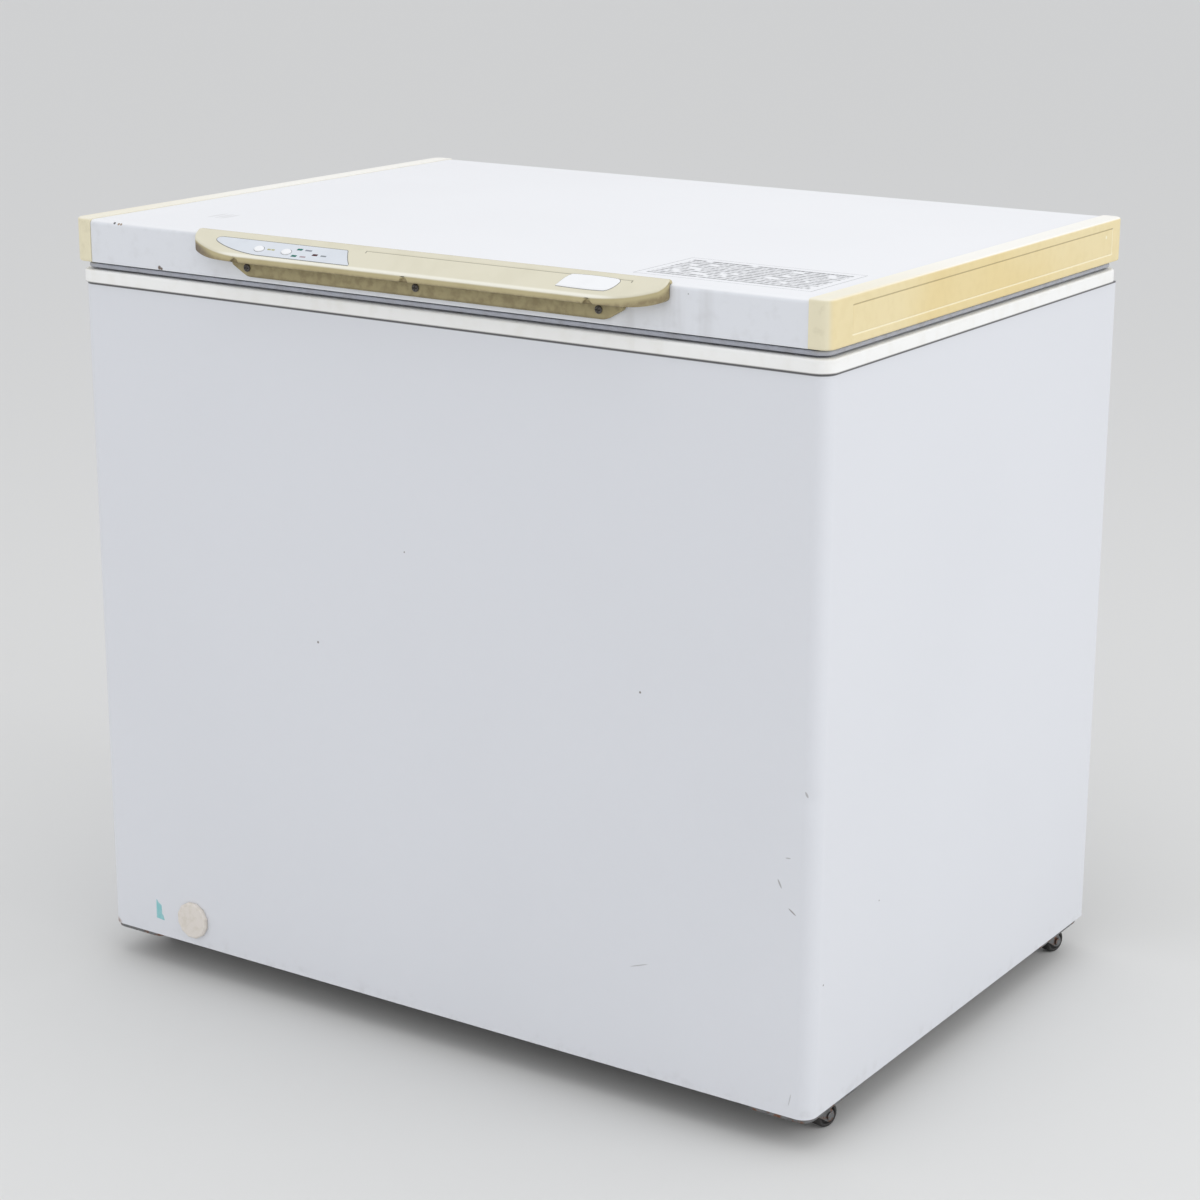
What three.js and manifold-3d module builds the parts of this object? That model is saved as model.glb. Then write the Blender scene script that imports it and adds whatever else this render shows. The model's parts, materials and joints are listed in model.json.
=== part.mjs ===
// Chest freezer on casters, with a top lid, a grip bar that holds the controls, and a lift-out basket.
// Millimetres, +Z up, front towards -Y. The origin is on the floor, under the middle of the whole object.

import * as THREE from "three";
import { mergeVertices } from "three/addons/utils/BufferGeometryUtils.js";
import Module from "manifold-3d";

const wasm = await Module();
wasm.setup();

// Driving dimensions ---------------------------------------------------------------------------

const GAP = 0.3; // clearance left between pieces that touch

// Cabinet
const WIDTH = 954;
const DEPTH = 664;
const FLOOR_CLEARANCE = 38; // floor to the lower edge of the steel
const STEEL_HEIGHT = 770;
const CORNER = 16; // outer radius of the upright front corners
const STEEL = 1; // sheet thickness, enamelled
const TRIM_HEIGHT = 14.5;
const TRIM_PROUD = 2.5; // how far the top frame stands out past the steel
const TRIM_WALL = 2.5;
const MOUTH_INSET = 2; // the top frame reaches this far inside the tub's walls

// Tub
const WALL = 65; // steel outside to tub inside
const TUB_CORNER = 22;
const TUB_SHEET = 1.5;
const TUB_FLOOR = 113.5; // height of the tub's floor
const STEP_X = 180; // where the raised floor over the compressor begins
const STEP_FLOOR = 385;
const FOAM_POCKET = 10; // space for the tubes beside the foam

// Compressor room, under the raised floor
const ROOM_X = 232;
const ROOM_TOP = 330;

// Lid
const LID_GAP = 9; // top frame to the lid's lower edge, filled by the gasket
const LID_THICK = 48.5;
const LID_OVERHANG = 4; // past the steel, on every side
const CAP_WIDTH = 24;
const CAP_CORNER = 12;
const CAP_WALL = 2.5;
const CAP_PROUD = 1; // caps stand this much past the lid's sheet
const LID_BEND = 5;
const LID_RETURN = 12; // inward fold along the sheet's lower edges
const PLUG_DROP = 10.5; // how far the inner lid reaches below the top frame's upper face
const PLUG_CLEARANCE = 6;

// Grip bar
const GRIP_X = 3; // middle of the bar
const GRIP_HALF = 300;
const GRIP_REACH = 28; // forward of the lid's sheet
const GRIP_CREST = 2.5; // above the end caps
const GRIP_HOOK = 5; // depth of the edge that laps over the lid
const GRIP_SLOPE = 35; // degrees that the control face leans forward
const GRIP_LIP = 8; // height of the front lip
const GRIP_WALL = 2.2;
const SKIRT_HALF = 229; // half-length of the skirt's lower edge
const SKIRT_TOP_HALF = 250;
const SKIRT_THICK = 5.7;
const SKIRT_DROP = 18.3; // skirt height below the bar
const SCREW_PITCH = 225;
const SCREW_RADIUS = 2;
const SCREWS = [["left", -SCREW_PITCH], ["middle", 0], ["right", SCREW_PITCH]];

// Controls, on the sloping face: X along the bar, V down the slope from its upper edge
const OVERLAY_THICK = 0.7;
const BUTTON_RADIUS = 5.5;
const BUTTON_HOLE = 6; // radius of the hole that guides a button
const BUTTONS = [["power_button", -198], ["fast_freeze_button", -161]];
const BUTTON_V = 20.5;
const LAMPS = [["run_lamp", -146, 15], ["fast_freeze_lamp", -148, 25], ["warning_lamp", -122.5, 20.5]];
const LAMP_SIZE = [7, 3];
const BADGE_AT = [219, 15];
const BADGE_SIZE = [64, 18];

// Hinges
const HINGE_X = 300;
const HINGE_HALF = 30;
const PIVOT_BEHIND = 14; // pivot behind the cabinet's back
const PIVOT_ABOVE = 4.5; // pivot above the top frame
const KNUCKLE = 7;
const PIN = 3;

// Casters
const CASTER_X = 448;
const CASTER_Y = 279;
const WHEEL_RADIUS = 14;
const WHEEL_WIDTH = 16;
const TRAIL = 20; // swivel axis to axle
const HEADING = 75; // degrees from +X that the wheels trail at rest
const CASTER_PLATE = [75, 115, 5.2];

// Drain
const DRAIN_X = -347;
const DRAIN_Y = -225;
const DRAIN_Z = 69;
const DRAIN_BORE = 9;
const DRAIN_CAP_RADIUS = 22;
const DRAIN_CAP_HEIGHT = 4.8;

// Basket
const BASKET_HEIGHT = 175;
const BASKET_WALL = 3;

// Levels and half sizes that follow -------------------------------------------------------------

const HALF_X = WIDTH / 2;
const HALF_Y = DEPTH / 2;
const STEEL_TOP = FLOOR_CLEARANCE + STEEL_HEIGHT;
const TRIM_TOP = STEEL_TOP + TRIM_HEIGHT;
const LID_BOTTOM = TRIM_TOP + LID_GAP;
const LID_TOP = LID_BOTTOM + LID_THICK;
const SHEET_TOP = LID_TOP - CAP_PROUD;
const LID_X = HALF_X + LID_OVERHANG;
const CAP_Y = HALF_Y + LID_OVERHANG + CAP_PROUD / 2;
const SHEET_Y = CAP_Y - CAP_PROUD;
const SHEET_X = LID_X - CAP_WIDTH - GAP;
const TUB_X = HALF_X - WALL;
const TUB_Y = HALF_Y - WALL;
const PAN_TOP = FLOOR_CLEARANCE + 2;
const PAN_THICK = 1.5;
const PIVOT_Y = HALF_Y + PIVOT_BEHIND;
const PIVOT_Z = TRIM_TOP + PIVOT_ABOVE;
const GRIP_FRONT = -SHEET_Y - GRIP_REACH;
const GRIP_TOP = LID_TOP + GRIP_CREST;
const SLOPE = THREE.MathUtils.degToRad(GRIP_SLOPE);
const GRIP_BOTTOM = GRIP_TOP - GRIP_REACH * Math.tan(SLOPE) + 0.6 - GRIP_LIP;
const SCREW_Z = GRIP_BOTTOM - 8.5;

// Finishes --------------------------------------------------------------------------------------

const FINISH = {
  enamel: [0xdde0e4, 0.4, 0],
  lidEnamel: [0xf1f2f3, 0.35, 0],
  whitePlastic: [0xece9df, 0.5, 0],
  agedPlastic: [0xddd2a6, 0.55, 0],
  gripPlastic: [0xd9d1b5, 0.5, 0],
  overlay: [0xd3dae4, 0.35, 0],
  button: [0xf5f5f5, 0.4, 0],
  greenLens: [0x1d9a83, 0.25, 0],
  redLens: [0xb5303a, 0.25, 0],
  rubber: [0xa2a6ab, 0.8, 0],
  foam: [0xe6d9a8, 0.9, 0],
  tub: [0xe9ecee, 0.4, 0],
  zinc: [0x9a9c9c, 0.4, 0.9],
  blackSteel: [0x18191a, 0.45, 0.3],
  copper: [0xb4693f, 0.3, 1],
  darkPlastic: [0x2a2c2e, 0.6, 0],
  wheel: [0x3a3a3a, 0.7, 0],
  board: [0x2c6a43, 0.6, 0],
  wire: [0xe4e6e6, 0.4, 0],
};

function finish(key) {
  const [color, roughness, metalness] = FINISH[key];
  return new THREE.MeshStandardMaterial({ color, roughness, metalness });
}

// Shape helpers ---------------------------------------------------------------------------------

const vec = (x, y, z) => new THREE.Vector3(x, y, z);

function toSolid(geometry) {
  const bare = geometry.clone();
  bare.deleteAttribute("normal");
  bare.deleteAttribute("uv");
  const merged = mergeVertices(bare, 1e-4);
  const vertProperties = merged.attributes.position.array;
  const triVerts = new Uint32Array(merged.index.array);
  return new wasm.Manifold(new wasm.Mesh({ numProp: 3, vertProperties, triVerts }));
}

function toGeometry(solid) {
  const { vertProperties, triVerts } = solid.getMesh();
  const geometry = new THREE.BufferGeometry();
  geometry.setAttribute("position", new THREE.BufferAttribute(vertProperties, 3));
  geometry.setIndex(new THREE.BufferAttribute(triVerts, 1));
  const flat = geometry.toNonIndexed();
  flat.computeVertexNormals();
  return flat;
}

const join = (...all) => toGeometry(all.map(toSolid).reduce((a, b) => a.add(b)));
const cut = (body, ...tools) => toGeometry(tools.reduce((a, b) => a.subtract(toSolid(b)), toSolid(body)));
const common = (a, b) => toGeometry(toSolid(a).intersect(toSolid(b)));

function block([x0, y0, z0], [x1, y1, z1]) {
  const geometry = new THREE.BoxGeometry(x1 - x0, y1 - y0, z1 - z0);
  return geometry.translate((x0 + x1) / 2, (y0 + y1) / 2, (z0 + z1) / 2);
}

function polygon(points) {
  return new THREE.Shape(points.map(([u, v]) => new THREE.Vector2(u, v)));
}

// A rectangle from (u0, v0) to (u1, v1) with round corners.
function rounded(u0, v0, u1, v1, radius, Kind = THREE.Shape) {
  const outline = new Kind();
  outline.moveTo(u0 + radius, v0);
  outline.lineTo(u1 - radius, v0);
  outline.absarc(u1 - radius, v0 + radius, radius, -Math.PI / 2, 0);
  outline.lineTo(u1, v1 - radius);
  outline.absarc(u1 - radius, v1 - radius, radius, 0, Math.PI / 2);
  outline.lineTo(u0 + radius, v1);
  outline.absarc(u0 + radius, v1 - radius, radius, Math.PI / 2, Math.PI);
  outline.lineTo(u0, v0 + radius);
  outline.absarc(u0 + radius, v0 + radius, radius, Math.PI, Math.PI * 1.5);
  return outline;
}

const AXES = {
  x: new THREE.Matrix4().makeBasis(vec(0, 1, 0), vec(0, 0, 1), vec(1, 0, 0)), // outline in Y and Z
  y: new THREE.Matrix4().makeBasis(vec(0, 0, 1), vec(1, 0, 0), vec(0, 1, 0)), // outline in Z and X
  z: new THREE.Matrix4(), // outline in X and Y
};

// Extrudes an outline along an axis, from one level to another.
function prism(outline, axis, from, to, curveSegments = 2) {
  const geometry = new THREE.ExtrudeGeometry(outline, {
    depth: to - from,
    bevelEnabled: false,
    curveSegments,
  });
  return geometry.translate(0, 0, from).applyMatrix4(AXES[axis]);
}

// A rounded block centred on the Z axis.
function pillar(halfX, halfY, radius, from, to) {
  return prism(rounded(-halfX, -halfY, halfX, halfY, radius), "z", from, to);
}

// Turns a profile of [radius, height] points about Z; it starts and ends on the axis or closes.
function turned(profile, segments = 20) {
  const points = profile.map(([r, h]) => new THREE.Vector2(r, h));
  return new THREE.LatheGeometry(points, segments).rotateX(Math.PI / 2);
}

const rod = (radius, from, to, segments = 20) =>
  turned([[0, from], [radius, from], [radius, to], [0, to]], segments);

// Lays a shape turned about Z along another axis.
const alongX = (geometry) => geometry.rotateY(Math.PI / 2);
const alongY = (geometry) => geometry.rotateX(-Math.PI / 2);

// A route with one ring of the extruded section at each of its points.
class Route extends THREE.Curve {
  constructor(points) {
    super();
    this.points = points;
  }

  getPoint(t, target = new THREE.Vector3()) {
    const at = t * (this.points.length - 1);
    const index = Math.min(Math.floor(at), this.points.length - 2);
    return target.copy(this.points[index]).lerp(this.points[index + 1], at - index);
  }

  getPointAt(u, target) {
    return this.getPoint(u, target);
  }

  getTangentAt(u, target = new THREE.Vector3()) {
    const last = this.points.length - 1;
    const index = Math.round(u * last);
    const here = this.points[index];
    const back = here.clone().sub(this.points[Math.max(index - 1, 0)]).normalize();
    const ahead = this.points[Math.min(index + 1, last)].clone().sub(here).normalize();
    return target.copy(back).add(ahead).normalize();
  }
}

// Rounds each inner corner of a chain of straight runs.
function bent(corners, radius, steps = 2) {
  const points = [corners[0]];
  for (let i = 1; i < corners.length - 1; i += 1) {
    const corner = corners[i];
    const start = corner.clone().lerp(corners[i - 1], radius / corner.distanceTo(corners[i - 1]));
    const end = corner.clone().lerp(corners[i + 1], radius / corner.distanceTo(corners[i + 1]));
    const bend = new THREE.QuadraticBezierCurve3(start, corner, end);
    points.push(...bend.getPoints(steps));
  }
  points.push(corners.at(-1));
  return points;
}

// A tube along points; a bore makes it a pipe that is open at both ends.
function tube(points, radius, bore = 0, sides = 6) {
  const section = new THREE.Shape().absarc(0, 0, radius, 0, Math.PI * 2);
  if (bore > 0) section.holes.push(new THREE.Path().absarc(0, 0, bore, 0, Math.PI * 2));
  return new THREE.ExtrudeGeometry(section, {
    steps: points.length - 1,
    curveSegments: sides / 2,
    extrudePath: new Route(points),
  });
}

const freezer = new THREE.Group();

function add(name, geometry, finishKey, parent = freezer) {
  const mesh = new THREE.Mesh(geometry, finish(finishKey));
  mesh.name = name;
  parent.add(mesh);
  return mesh;
}

// Cabinet ---------------------------------------------------------------------------------------

// The drain's outlet hole, through the front sheet and the foam behind it.
const outletHole = (radius) =>
  alongY(rod(radius, -20, 20)).translate(DRAIN_X, -HALF_Y, DRAIN_Z);

function cabinetWrap() {
  const x = HALF_X;
  const y = HALF_Y;
  const outline = new THREE.Shape();
  outline.moveTo(-x, y);
  outline.lineTo(-x, -y + CORNER);
  outline.absarc(-x + CORNER, -y + CORNER, CORNER, Math.PI, Math.PI * 1.5);
  outline.lineTo(x - CORNER, -y);
  outline.absarc(x - CORNER, -y + CORNER, CORNER, -Math.PI / 2, 0);
  outline.lineTo(x, y);
  outline.lineTo(x - STEEL, y);
  outline.lineTo(x - STEEL, -y + CORNER);
  outline.absarc(x - CORNER, -y + CORNER, CORNER - STEEL, 0, -Math.PI / 2, true);
  outline.lineTo(-x + CORNER, -y + STEEL);
  outline.absarc(-x + CORNER, -y + CORNER, CORNER - STEEL, -Math.PI / 2, -Math.PI, true);
  outline.lineTo(-x + STEEL, y);
  const sheet = prism(outline, "z", FLOOR_CLEARANCE, STEEL_TOP - GAP, 4);
  return cut(sheet, outletHole(DRAIN_BORE + 3 + 2 * GAP));
}

// The air opening in the back sheet: [x0, x1, z0, z1].
const VENT = [252, 448, 92, 298];
const VENT_BORDER = 13;
const VENT_BAND = 32; // plain band under the slots, where the mains lead comes out
const VENT_SLOTS = 11;

function rearPanel() {
  const [x0, x1, z0, z1] = VENT;
  const half = HALF_X - STEEL - GAP;
  const sheet = block([-half, HALF_Y - STEEL, FLOOR_CLEARANCE], [half, HALF_Y, STEEL_TOP - GAP]);
  return cut(sheet, block([x0, 0, z0], [x1, HALF_Y + 10, z1]));
}

function rearGrille() {
  const [x0, x1, z0, z1] = VENT;
  const pitch = (z1 - z0) / VENT_SLOTS;
  const slot = pitch * 0.28; // half-height of a slot
  const outline = rounded(z0 - VENT_BAND, x0 - VENT_BORDER, z1 + VENT_BORDER, x1 + VENT_BORDER, 5);
  const slots = [];
  for (let i = 0; i < VENT_SLOTS; i += 1) {
    const z = z0 + (i + 0.5) * pitch;
    slots.push(block([x0 + 6, 0, z - slot], [x1 - 6, HALF_Y + 20, z + slot]));
  }
  return cut(prism(outline, "y", HALF_Y + GAP, HALF_Y + GAP + 3), ...slots);
}

// Floor of the compressor room and of the foam, with a row of air slots in front of the compressor.
function basePan() {
  const inset = STEEL + GAP;
  const x = HALF_X - inset;
  const y = HALF_Y - inset;
  const [slotFront, slotBack, slotPitch] = [-230, -110, 30];
  const slots = [];
  for (let i = 0; i < 6; i += 1) {
    const from = ROOM_X + 40 + i * slotPitch;
    slots.push(block([from, slotFront, 0], [from + 12, slotBack, PAN_TOP + 10]));
  }
  return cut(pillar(x, y, CORNER - inset + 1, PAN_TOP - PAN_THICK, PAN_TOP), ...slots);
}

// The bent run of the drain, from under the tub's floor to the front sheet.
function drainRoute(top, front) {
  const down = vec(DRAIN_X, DRAIN_Y, top);
  const turn = vec(DRAIN_X, DRAIN_Y, DRAIN_Z);
  const out = vec(DRAIN_X, front, DRAIN_Z);
  return bent([down, turn, out], 30, 4);
}

function cabinetFoam() {
  const outX = HALF_X - STEEL - FOAM_POCKET + 1;
  const outY = HALF_Y - STEEL - FOAM_POCKET + 1;
  const inX = TUB_X + TUB_SHEET + FOAM_POCKET;
  const inY = TUB_Y + TUB_SHEET + FOAM_POCKET;
  const stepX = STEP_X + TUB_SHEET + FOAM_POCKET;
  const top = TRIM_TOP - TRIM_WALL - 2;
  const deep = prism(rounded(-inX, -inY, stepX, inY, TUB_CORNER), "z", TUB_FLOOR - TUB_SHEET - GAP, 900);
  const upper = pillar(inX, inY, TUB_CORNER, STEP_FLOOR - TUB_SHEET - GAP, 900);
  const room = block([ROOM_X, -400, 0], [600, 400, ROOM_TOP]);
  const channel = tube(drainRoute(TUB_FLOOR + 5, -HALF_Y - 5), DRAIN_BORE + 4, 0, 10);
  return cut(pillar(outX, outY, 8, PAN_TOP + GAP, top), deep, upper, room, channel);
}

function topTrim() {
  const frame = (out, inner, from, to) => {
    const [x, y] = [HALF_X + out, HALF_Y + out];
    const [mouthX, mouthY] = [TUB_X - inner, TUB_Y - inner];
    const outline = rounded(-x, -y, x, y, CORNER + out);
    outline.holes.push(rounded(-mouthX, -mouthY, mouthX, mouthY, TUB_CORNER - inner, THREE.Path));
    return prism(outline, "z", from, to);
  };
  const outer = frame(TRIM_PROUD, MOUTH_INSET, STEEL_TOP, TRIM_TOP);
  const channel = frame(TRIM_PROUD - TRIM_WALL, GAP, STEEL_TOP - 5, TRIM_TOP - TRIM_WALL);
  return cut(outer, channel);
}

add("cabinet_wrap", cabinetWrap(), "enamel");
add("rear_panel", rearPanel(), "zinc");
add("rear_grille", rearGrille(), "darkPlastic");
add("base_pan", basePan(), "zinc");
add("cabinet_foam", cabinetFoam(), "foam");
add("top_trim", topTrim(), "whitePlastic");

// Tub -------------------------------------------------------------------------------------------

function tubLiner() {
  const shape = (grow, from) => {
    const radius = TUB_CORNER + grow;
    const deep = rounded(-TUB_X - grow, -TUB_Y - grow, STEP_X + grow, TUB_Y + grow, radius);
    const top = grow > 0 ? TRIM_TOP - TRIM_WALL - GAP : 900;
    return join(
      prism(deep, "z", from - grow, STEP_FLOOR + 20),
      pillar(TUB_X + grow, TUB_Y + grow, radius, STEP_FLOOR - grow, top),
    );
  };
  const hole = rod(DRAIN_BORE, 0, TUB_FLOOR + 10).translate(DRAIN_X, DRAIN_Y, 0);
  return cut(shape(TUB_SHEET, TUB_FLOOR), shape(0, TUB_FLOOR), hole);
}

function basket() {
  const gap = 10; // to the tub's walls
  const left = STEP_X + gap + 2;
  const outline = (inset, radius) => {
    const [x, y] = [TUB_X - gap - inset, TUB_Y - gap - inset];
    return rounded(left + inset, -y, x, y, radius);
  };
  const floor = STEP_FLOOR + GAP;
  return cut(
    prism(outline(0, 14), "z", floor, floor + BASKET_HEIGHT),
    prism(outline(BASKET_WALL, 11), "z", floor + BASKET_WALL, floor + BASKET_HEIGHT + 10),
  );
}

add("tub_liner", tubLiner(), "tub");
add("basket", basket(), "wire");

// Drain -----------------------------------------------------------------------------------------

function drainPipe() {
  const face = -HALF_Y - GAP;
  const pipe = tube(drainRoute(TUB_FLOOR - TUB_SHEET - GAP, face - 0.5), DRAIN_BORE + 3, DRAIN_BORE, 10);
  const bore = DRAIN_BORE + 1;
  const flange = turned([[bore, 0], [19, 0], [19, 1.5], [bore, 1.5], [bore, 0]]);
  return join(pipe, flange.rotateX(Math.PI / 2).translate(DRAIN_X, face, DRAIN_Z));
}

// Round outlet cap: a shallow cup over the pipe's flange, with a stopper that fills the pipe.
function drainCap() {
  const [rim, top] = [DRAIN_CAP_RADIUS, DRAIN_CAP_HEIGHT];
  const stopper = DRAIN_BORE - 2 * GAP;
  const cup = [
    [0, -14], [stopper, -14], [stopper, 2], [rim - 2, 2], [rim - 2, 0],
    [rim, 0], [rim, top - 1.2], [rim - 1.2, top], [0, top],
  ];
  return turned(cup, 24).rotateX(Math.PI / 2).translate(DRAIN_X, -HALF_Y - GAP, DRAIN_Z);
}

function drainPlug() {
  const shank = DRAIN_BORE - 2 * GAP;
  const profile = [
    [0, -10], [shank, -10], [shank, GAP], [15, GAP], [15, 3], [12, 5], [4, 5], [4, 11], [6, 14], [0, 16],
  ];
  return turned(profile, 16).translate(DRAIN_X, DRAIN_Y, TUB_FLOOR);
}

add("drain_pipe", drainPipe(), "whitePlastic");
add("drain_cap", drainCap(), "gripPlastic");
add("drain_plug", drainPlug(), "rubber");

// Refrigeration ---------------------------------------------------------------------------------

const COMPRESSOR_AT = [350, 40];
const POT_RADIUS = 70;
const FILTER_AT = [262, -40];

// Welded pot on a mounting plate with four rubber-bushed feet.
function compressor() {
  const pot = turned([
    [0, 51], [56, 51], [POT_RADIUS - 3, 60], [POT_RADIUS, 72], [POT_RADIUS, 128], [POT_RADIUS + 3, 131],
    [POT_RADIUS + 3, 137], [POT_RADIUS - 1, 140], [POT_RADIUS - 4, 176], [50, 202], [24, 212], [0, 214],
  ]);
  const plate = block([-92, -62, 50], [92, 62, 53]);
  const feet = [[-78, -48], [78, -48], [-78, 48], [78, 48]].map(([x, y]) =>
    rod(10, PAN_TOP + GAP, 51, 12).translate(x, y, 0),
  );
  return join(pot, plate, ...feet).translate(...COMPRESSOR_AT, 0);
}

function starterBox() {
  const [x, y] = COMPRESSOR_AT;
  const face = y - POT_RADIUS - GAP;
  return prism(rounded(90, x - 24, 122, x + 24, 5), "y", face - 36, face);
}

function filterDrier() {
  const profile = [[0, 170], [2.5, 170], [2.5, 178], [9, 188], [9, 262], [2.5, 272], [2.5, 282], [0, 282]];
  return turned(profile, 16).translate(...FILTER_AT, 0);
}

// Copper line from the pot's side up to the foam above the room.
function potPipe(angle, height, reach, radius) {
  const [x, y] = COMPRESSOR_AT;
  const along = vec(Math.cos(angle), Math.sin(angle), 0);
  const start = along.clone().multiplyScalar(POT_RADIUS + GAP + 0.2).add(vec(x, y, height));
  const corner = along.clone().multiplyScalar(POT_RADIUS + reach).add(vec(x, y, height));
  const end = corner.clone().setZ(ROOM_TOP - GAP);
  return tube(bent([start, corner, end], 14), radius);
}

// Evaporator: a rising coil round the tub's upper part.
function evaporatorTube() {
  const x = TUB_X + TUB_SHEET + FOAM_POCKET / 2;
  const y = TUB_Y + TUB_SHEET + FOAM_POCKET / 2;
  const turns = 4;
  const pitch = 85;
  const low = 440;
  const corners = [vec(0, -y, low)];
  for (let turn = 0; turn < turns; turn += 1) {
    const z = low + turn * pitch;
    corners.push(vec(x, -y, z), vec(x, y, z), vec(-x, y, z + pitch), vec(-x, -y, z + pitch));
  }
  corners.push(vec(0, -y, low + turns * pitch));
  return tube(bent(corners, 24), 3.5);
}

// Condenser: runs to and fro behind the front and side sheets.
function condenserTube() {
  const x = HALF_X - STEEL - FOAM_POCKET / 2 + 0.5;
  const y = HALF_Y - STEEL - FOAM_POCKET / 2 + 0.5;
  const runs = 5;
  const pitch = 80;
  const end = 290;
  const low = 410;
  const corners = [];
  for (let run = 0; run < runs; run += 1) {
    const from = run % 2 ? x : -x;
    const z = low + run * pitch;
    corners.push(vec(from, end, z), vec(from, -y, z), vec(-from, -y, z), vec(-from, end, z));
  }
  return tube(bent(corners, 12), 2.5);
}

// Gland for the mains lead, on the grille's lower band.
function cordInlet() {
  const profile = [[4, 0], [11, 0], [11, 3], [7.5, 5], [6, 14], [4, 14], [4, 0]];
  const [x0, , z0] = VENT;
  return turned(profile, 16).rotateX(-Math.PI / 2).translate(x0 + 16, HALF_Y + 3 + 2 * GAP, z0 - 15);
}

add("compressor", compressor(), "blackSteel");
add("starter_box", starterBox(), "darkPlastic");
add("filter_drier", filterDrier(), "copper");
add("suction_pipe", potPipe(Math.PI * 0.75, 165, 22, 4), "copper");
add("discharge_pipe", potPipe(Math.PI * 0.25, 150, 20, 2.5), "copper");
add("evaporator_tube", evaporatorTube(), "copper");
add("condenser_tube", condenserTube(), "copper");
add("cord_inlet", cordInlet(), "darkPlastic");

// Casters ---------------------------------------------------------------------------------------

const PLATE_TOP = PAN_TOP - PAN_THICK - GAP;
const PLATE_BOTTOM = PLATE_TOP - CASTER_PLATE[2];
const FORK_TOP = PLATE_BOTTOM - GAP;

// Pressed corner plate with a turned-down rim, drawn for the corner at +X and +Y.
function casterPlate() {
  const [x, y] = CASTER_PLATE;
  const outX = HALF_X - STEEL - 1.5;
  const outY = HALF_Y - STEEL - 1.5;
  const rim = 3;
  const plan = (inset, from, to) => {
    const [u0, v0, u1, v1] = [outX - x + inset, outY - y + inset, outX - inset, outY - inset];
    return prism(rounded(u0, v0, u1, v1, CORNER - 3 - inset), "z", from, to);
  };
  const hole = rod(4 + GAP, 0, 60, 10).translate(CASTER_X, CASTER_Y, 0);
  return cut(plan(0, PLATE_BOTTOM, PLATE_TOP), plan(rim, 0, PLATE_TOP - 3), hole);
}

// Fork about its own swivel axis, with the axle towards +X and the wheel's axis along Y.
function casterFork() {
  const top = FORK_TOP;
  const web = 3;
  const inside = WHEEL_WIDTH / 2 + 0.6;
  const cheek = new THREE.Shape();
  cheek.moveTo(-12, top);
  cheek.lineTo(-12, top - 5);
  cheek.lineTo(TRAIL - 5, WHEEL_RADIUS - 4.5);
  cheek.absarc(TRAIL, WHEEL_RADIUS, 6.5, -Math.PI * 0.75, Math.PI * 0.25);
  cheek.lineTo(14, top);
  cheek.holes.push(new THREE.Path().absarc(TRAIL, WHEEL_RADIUS, PIN + GAP, 0, Math.PI * 2));
  const side = prism(cheek, "z", 0, 2, 5).rotateX(Math.PI / 2);
  return join(
    rod(15, top - web, top, 16),
    rod(4, top - web, PLATE_TOP, 10),
    side.clone().translate(0, inside + 2, 0),
    side.clone().translate(0, -inside, 0),
  );
}

function casterWheel() {
  const r = WHEEL_RADIUS;
  const w = WHEEL_WIDTH / 2;
  const bore = PIN + GAP;
  const profile = [[bore, -w], [r - 2, -w], [r, -w + 2], [r, w - 2], [r - 2, w], [bore, w], [bore, -w]];
  return alongY(turned(profile, 20)).translate(TRAIL, 0, r);
}

function casterAxle() {
  const out = WHEEL_WIDTH / 2 + 0.6 + 2 + GAP;
  const profile = [
    [0, -out - 1.5], [4.5, -out - 1.5], [4.5, -out], [PIN, -out], [PIN, out], [4.5, out], [4.5, out + 1.5],
    [0, out + 1.5],
  ];
  return alongY(turned(profile, 10)).translate(TRAIL, 0, WHEEL_RADIUS);
}

const CORNERS = [
  ["front_left", -1, -1],
  ["front_right", 1, -1],
  ["rear_left", -1, 1],
  ["rear_right", 1, 1],
];
for (const [corner, sideX, sideY] of CORNERS) {
  let plate = toSolid(casterPlate());
  if (sideX < 0) plate = plate.mirror([1, 0, 0]);
  if (sideY < 0) plate = plate.mirror([0, 1, 0]);
  add(`caster_plate_${corner}`, toGeometry(plate), "zinc");
  const swivel = new THREE.Group();
  swivel.position.set(sideX * CASTER_X, sideY * CASTER_Y, 0);
  swivel.rotation.z = THREE.MathUtils.degToRad(HEADING);
  freezer.add(swivel);
  add(`caster_fork_${corner}`, casterFork(), "zinc", swivel);
  add(`caster_axle_${corner}`, casterAxle(), "zinc", swivel);
  add(`caster_wheel_${corner}`, casterWheel(), "wheel", swivel);
}

// Lid -------------------------------------------------------------------------------------------

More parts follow.
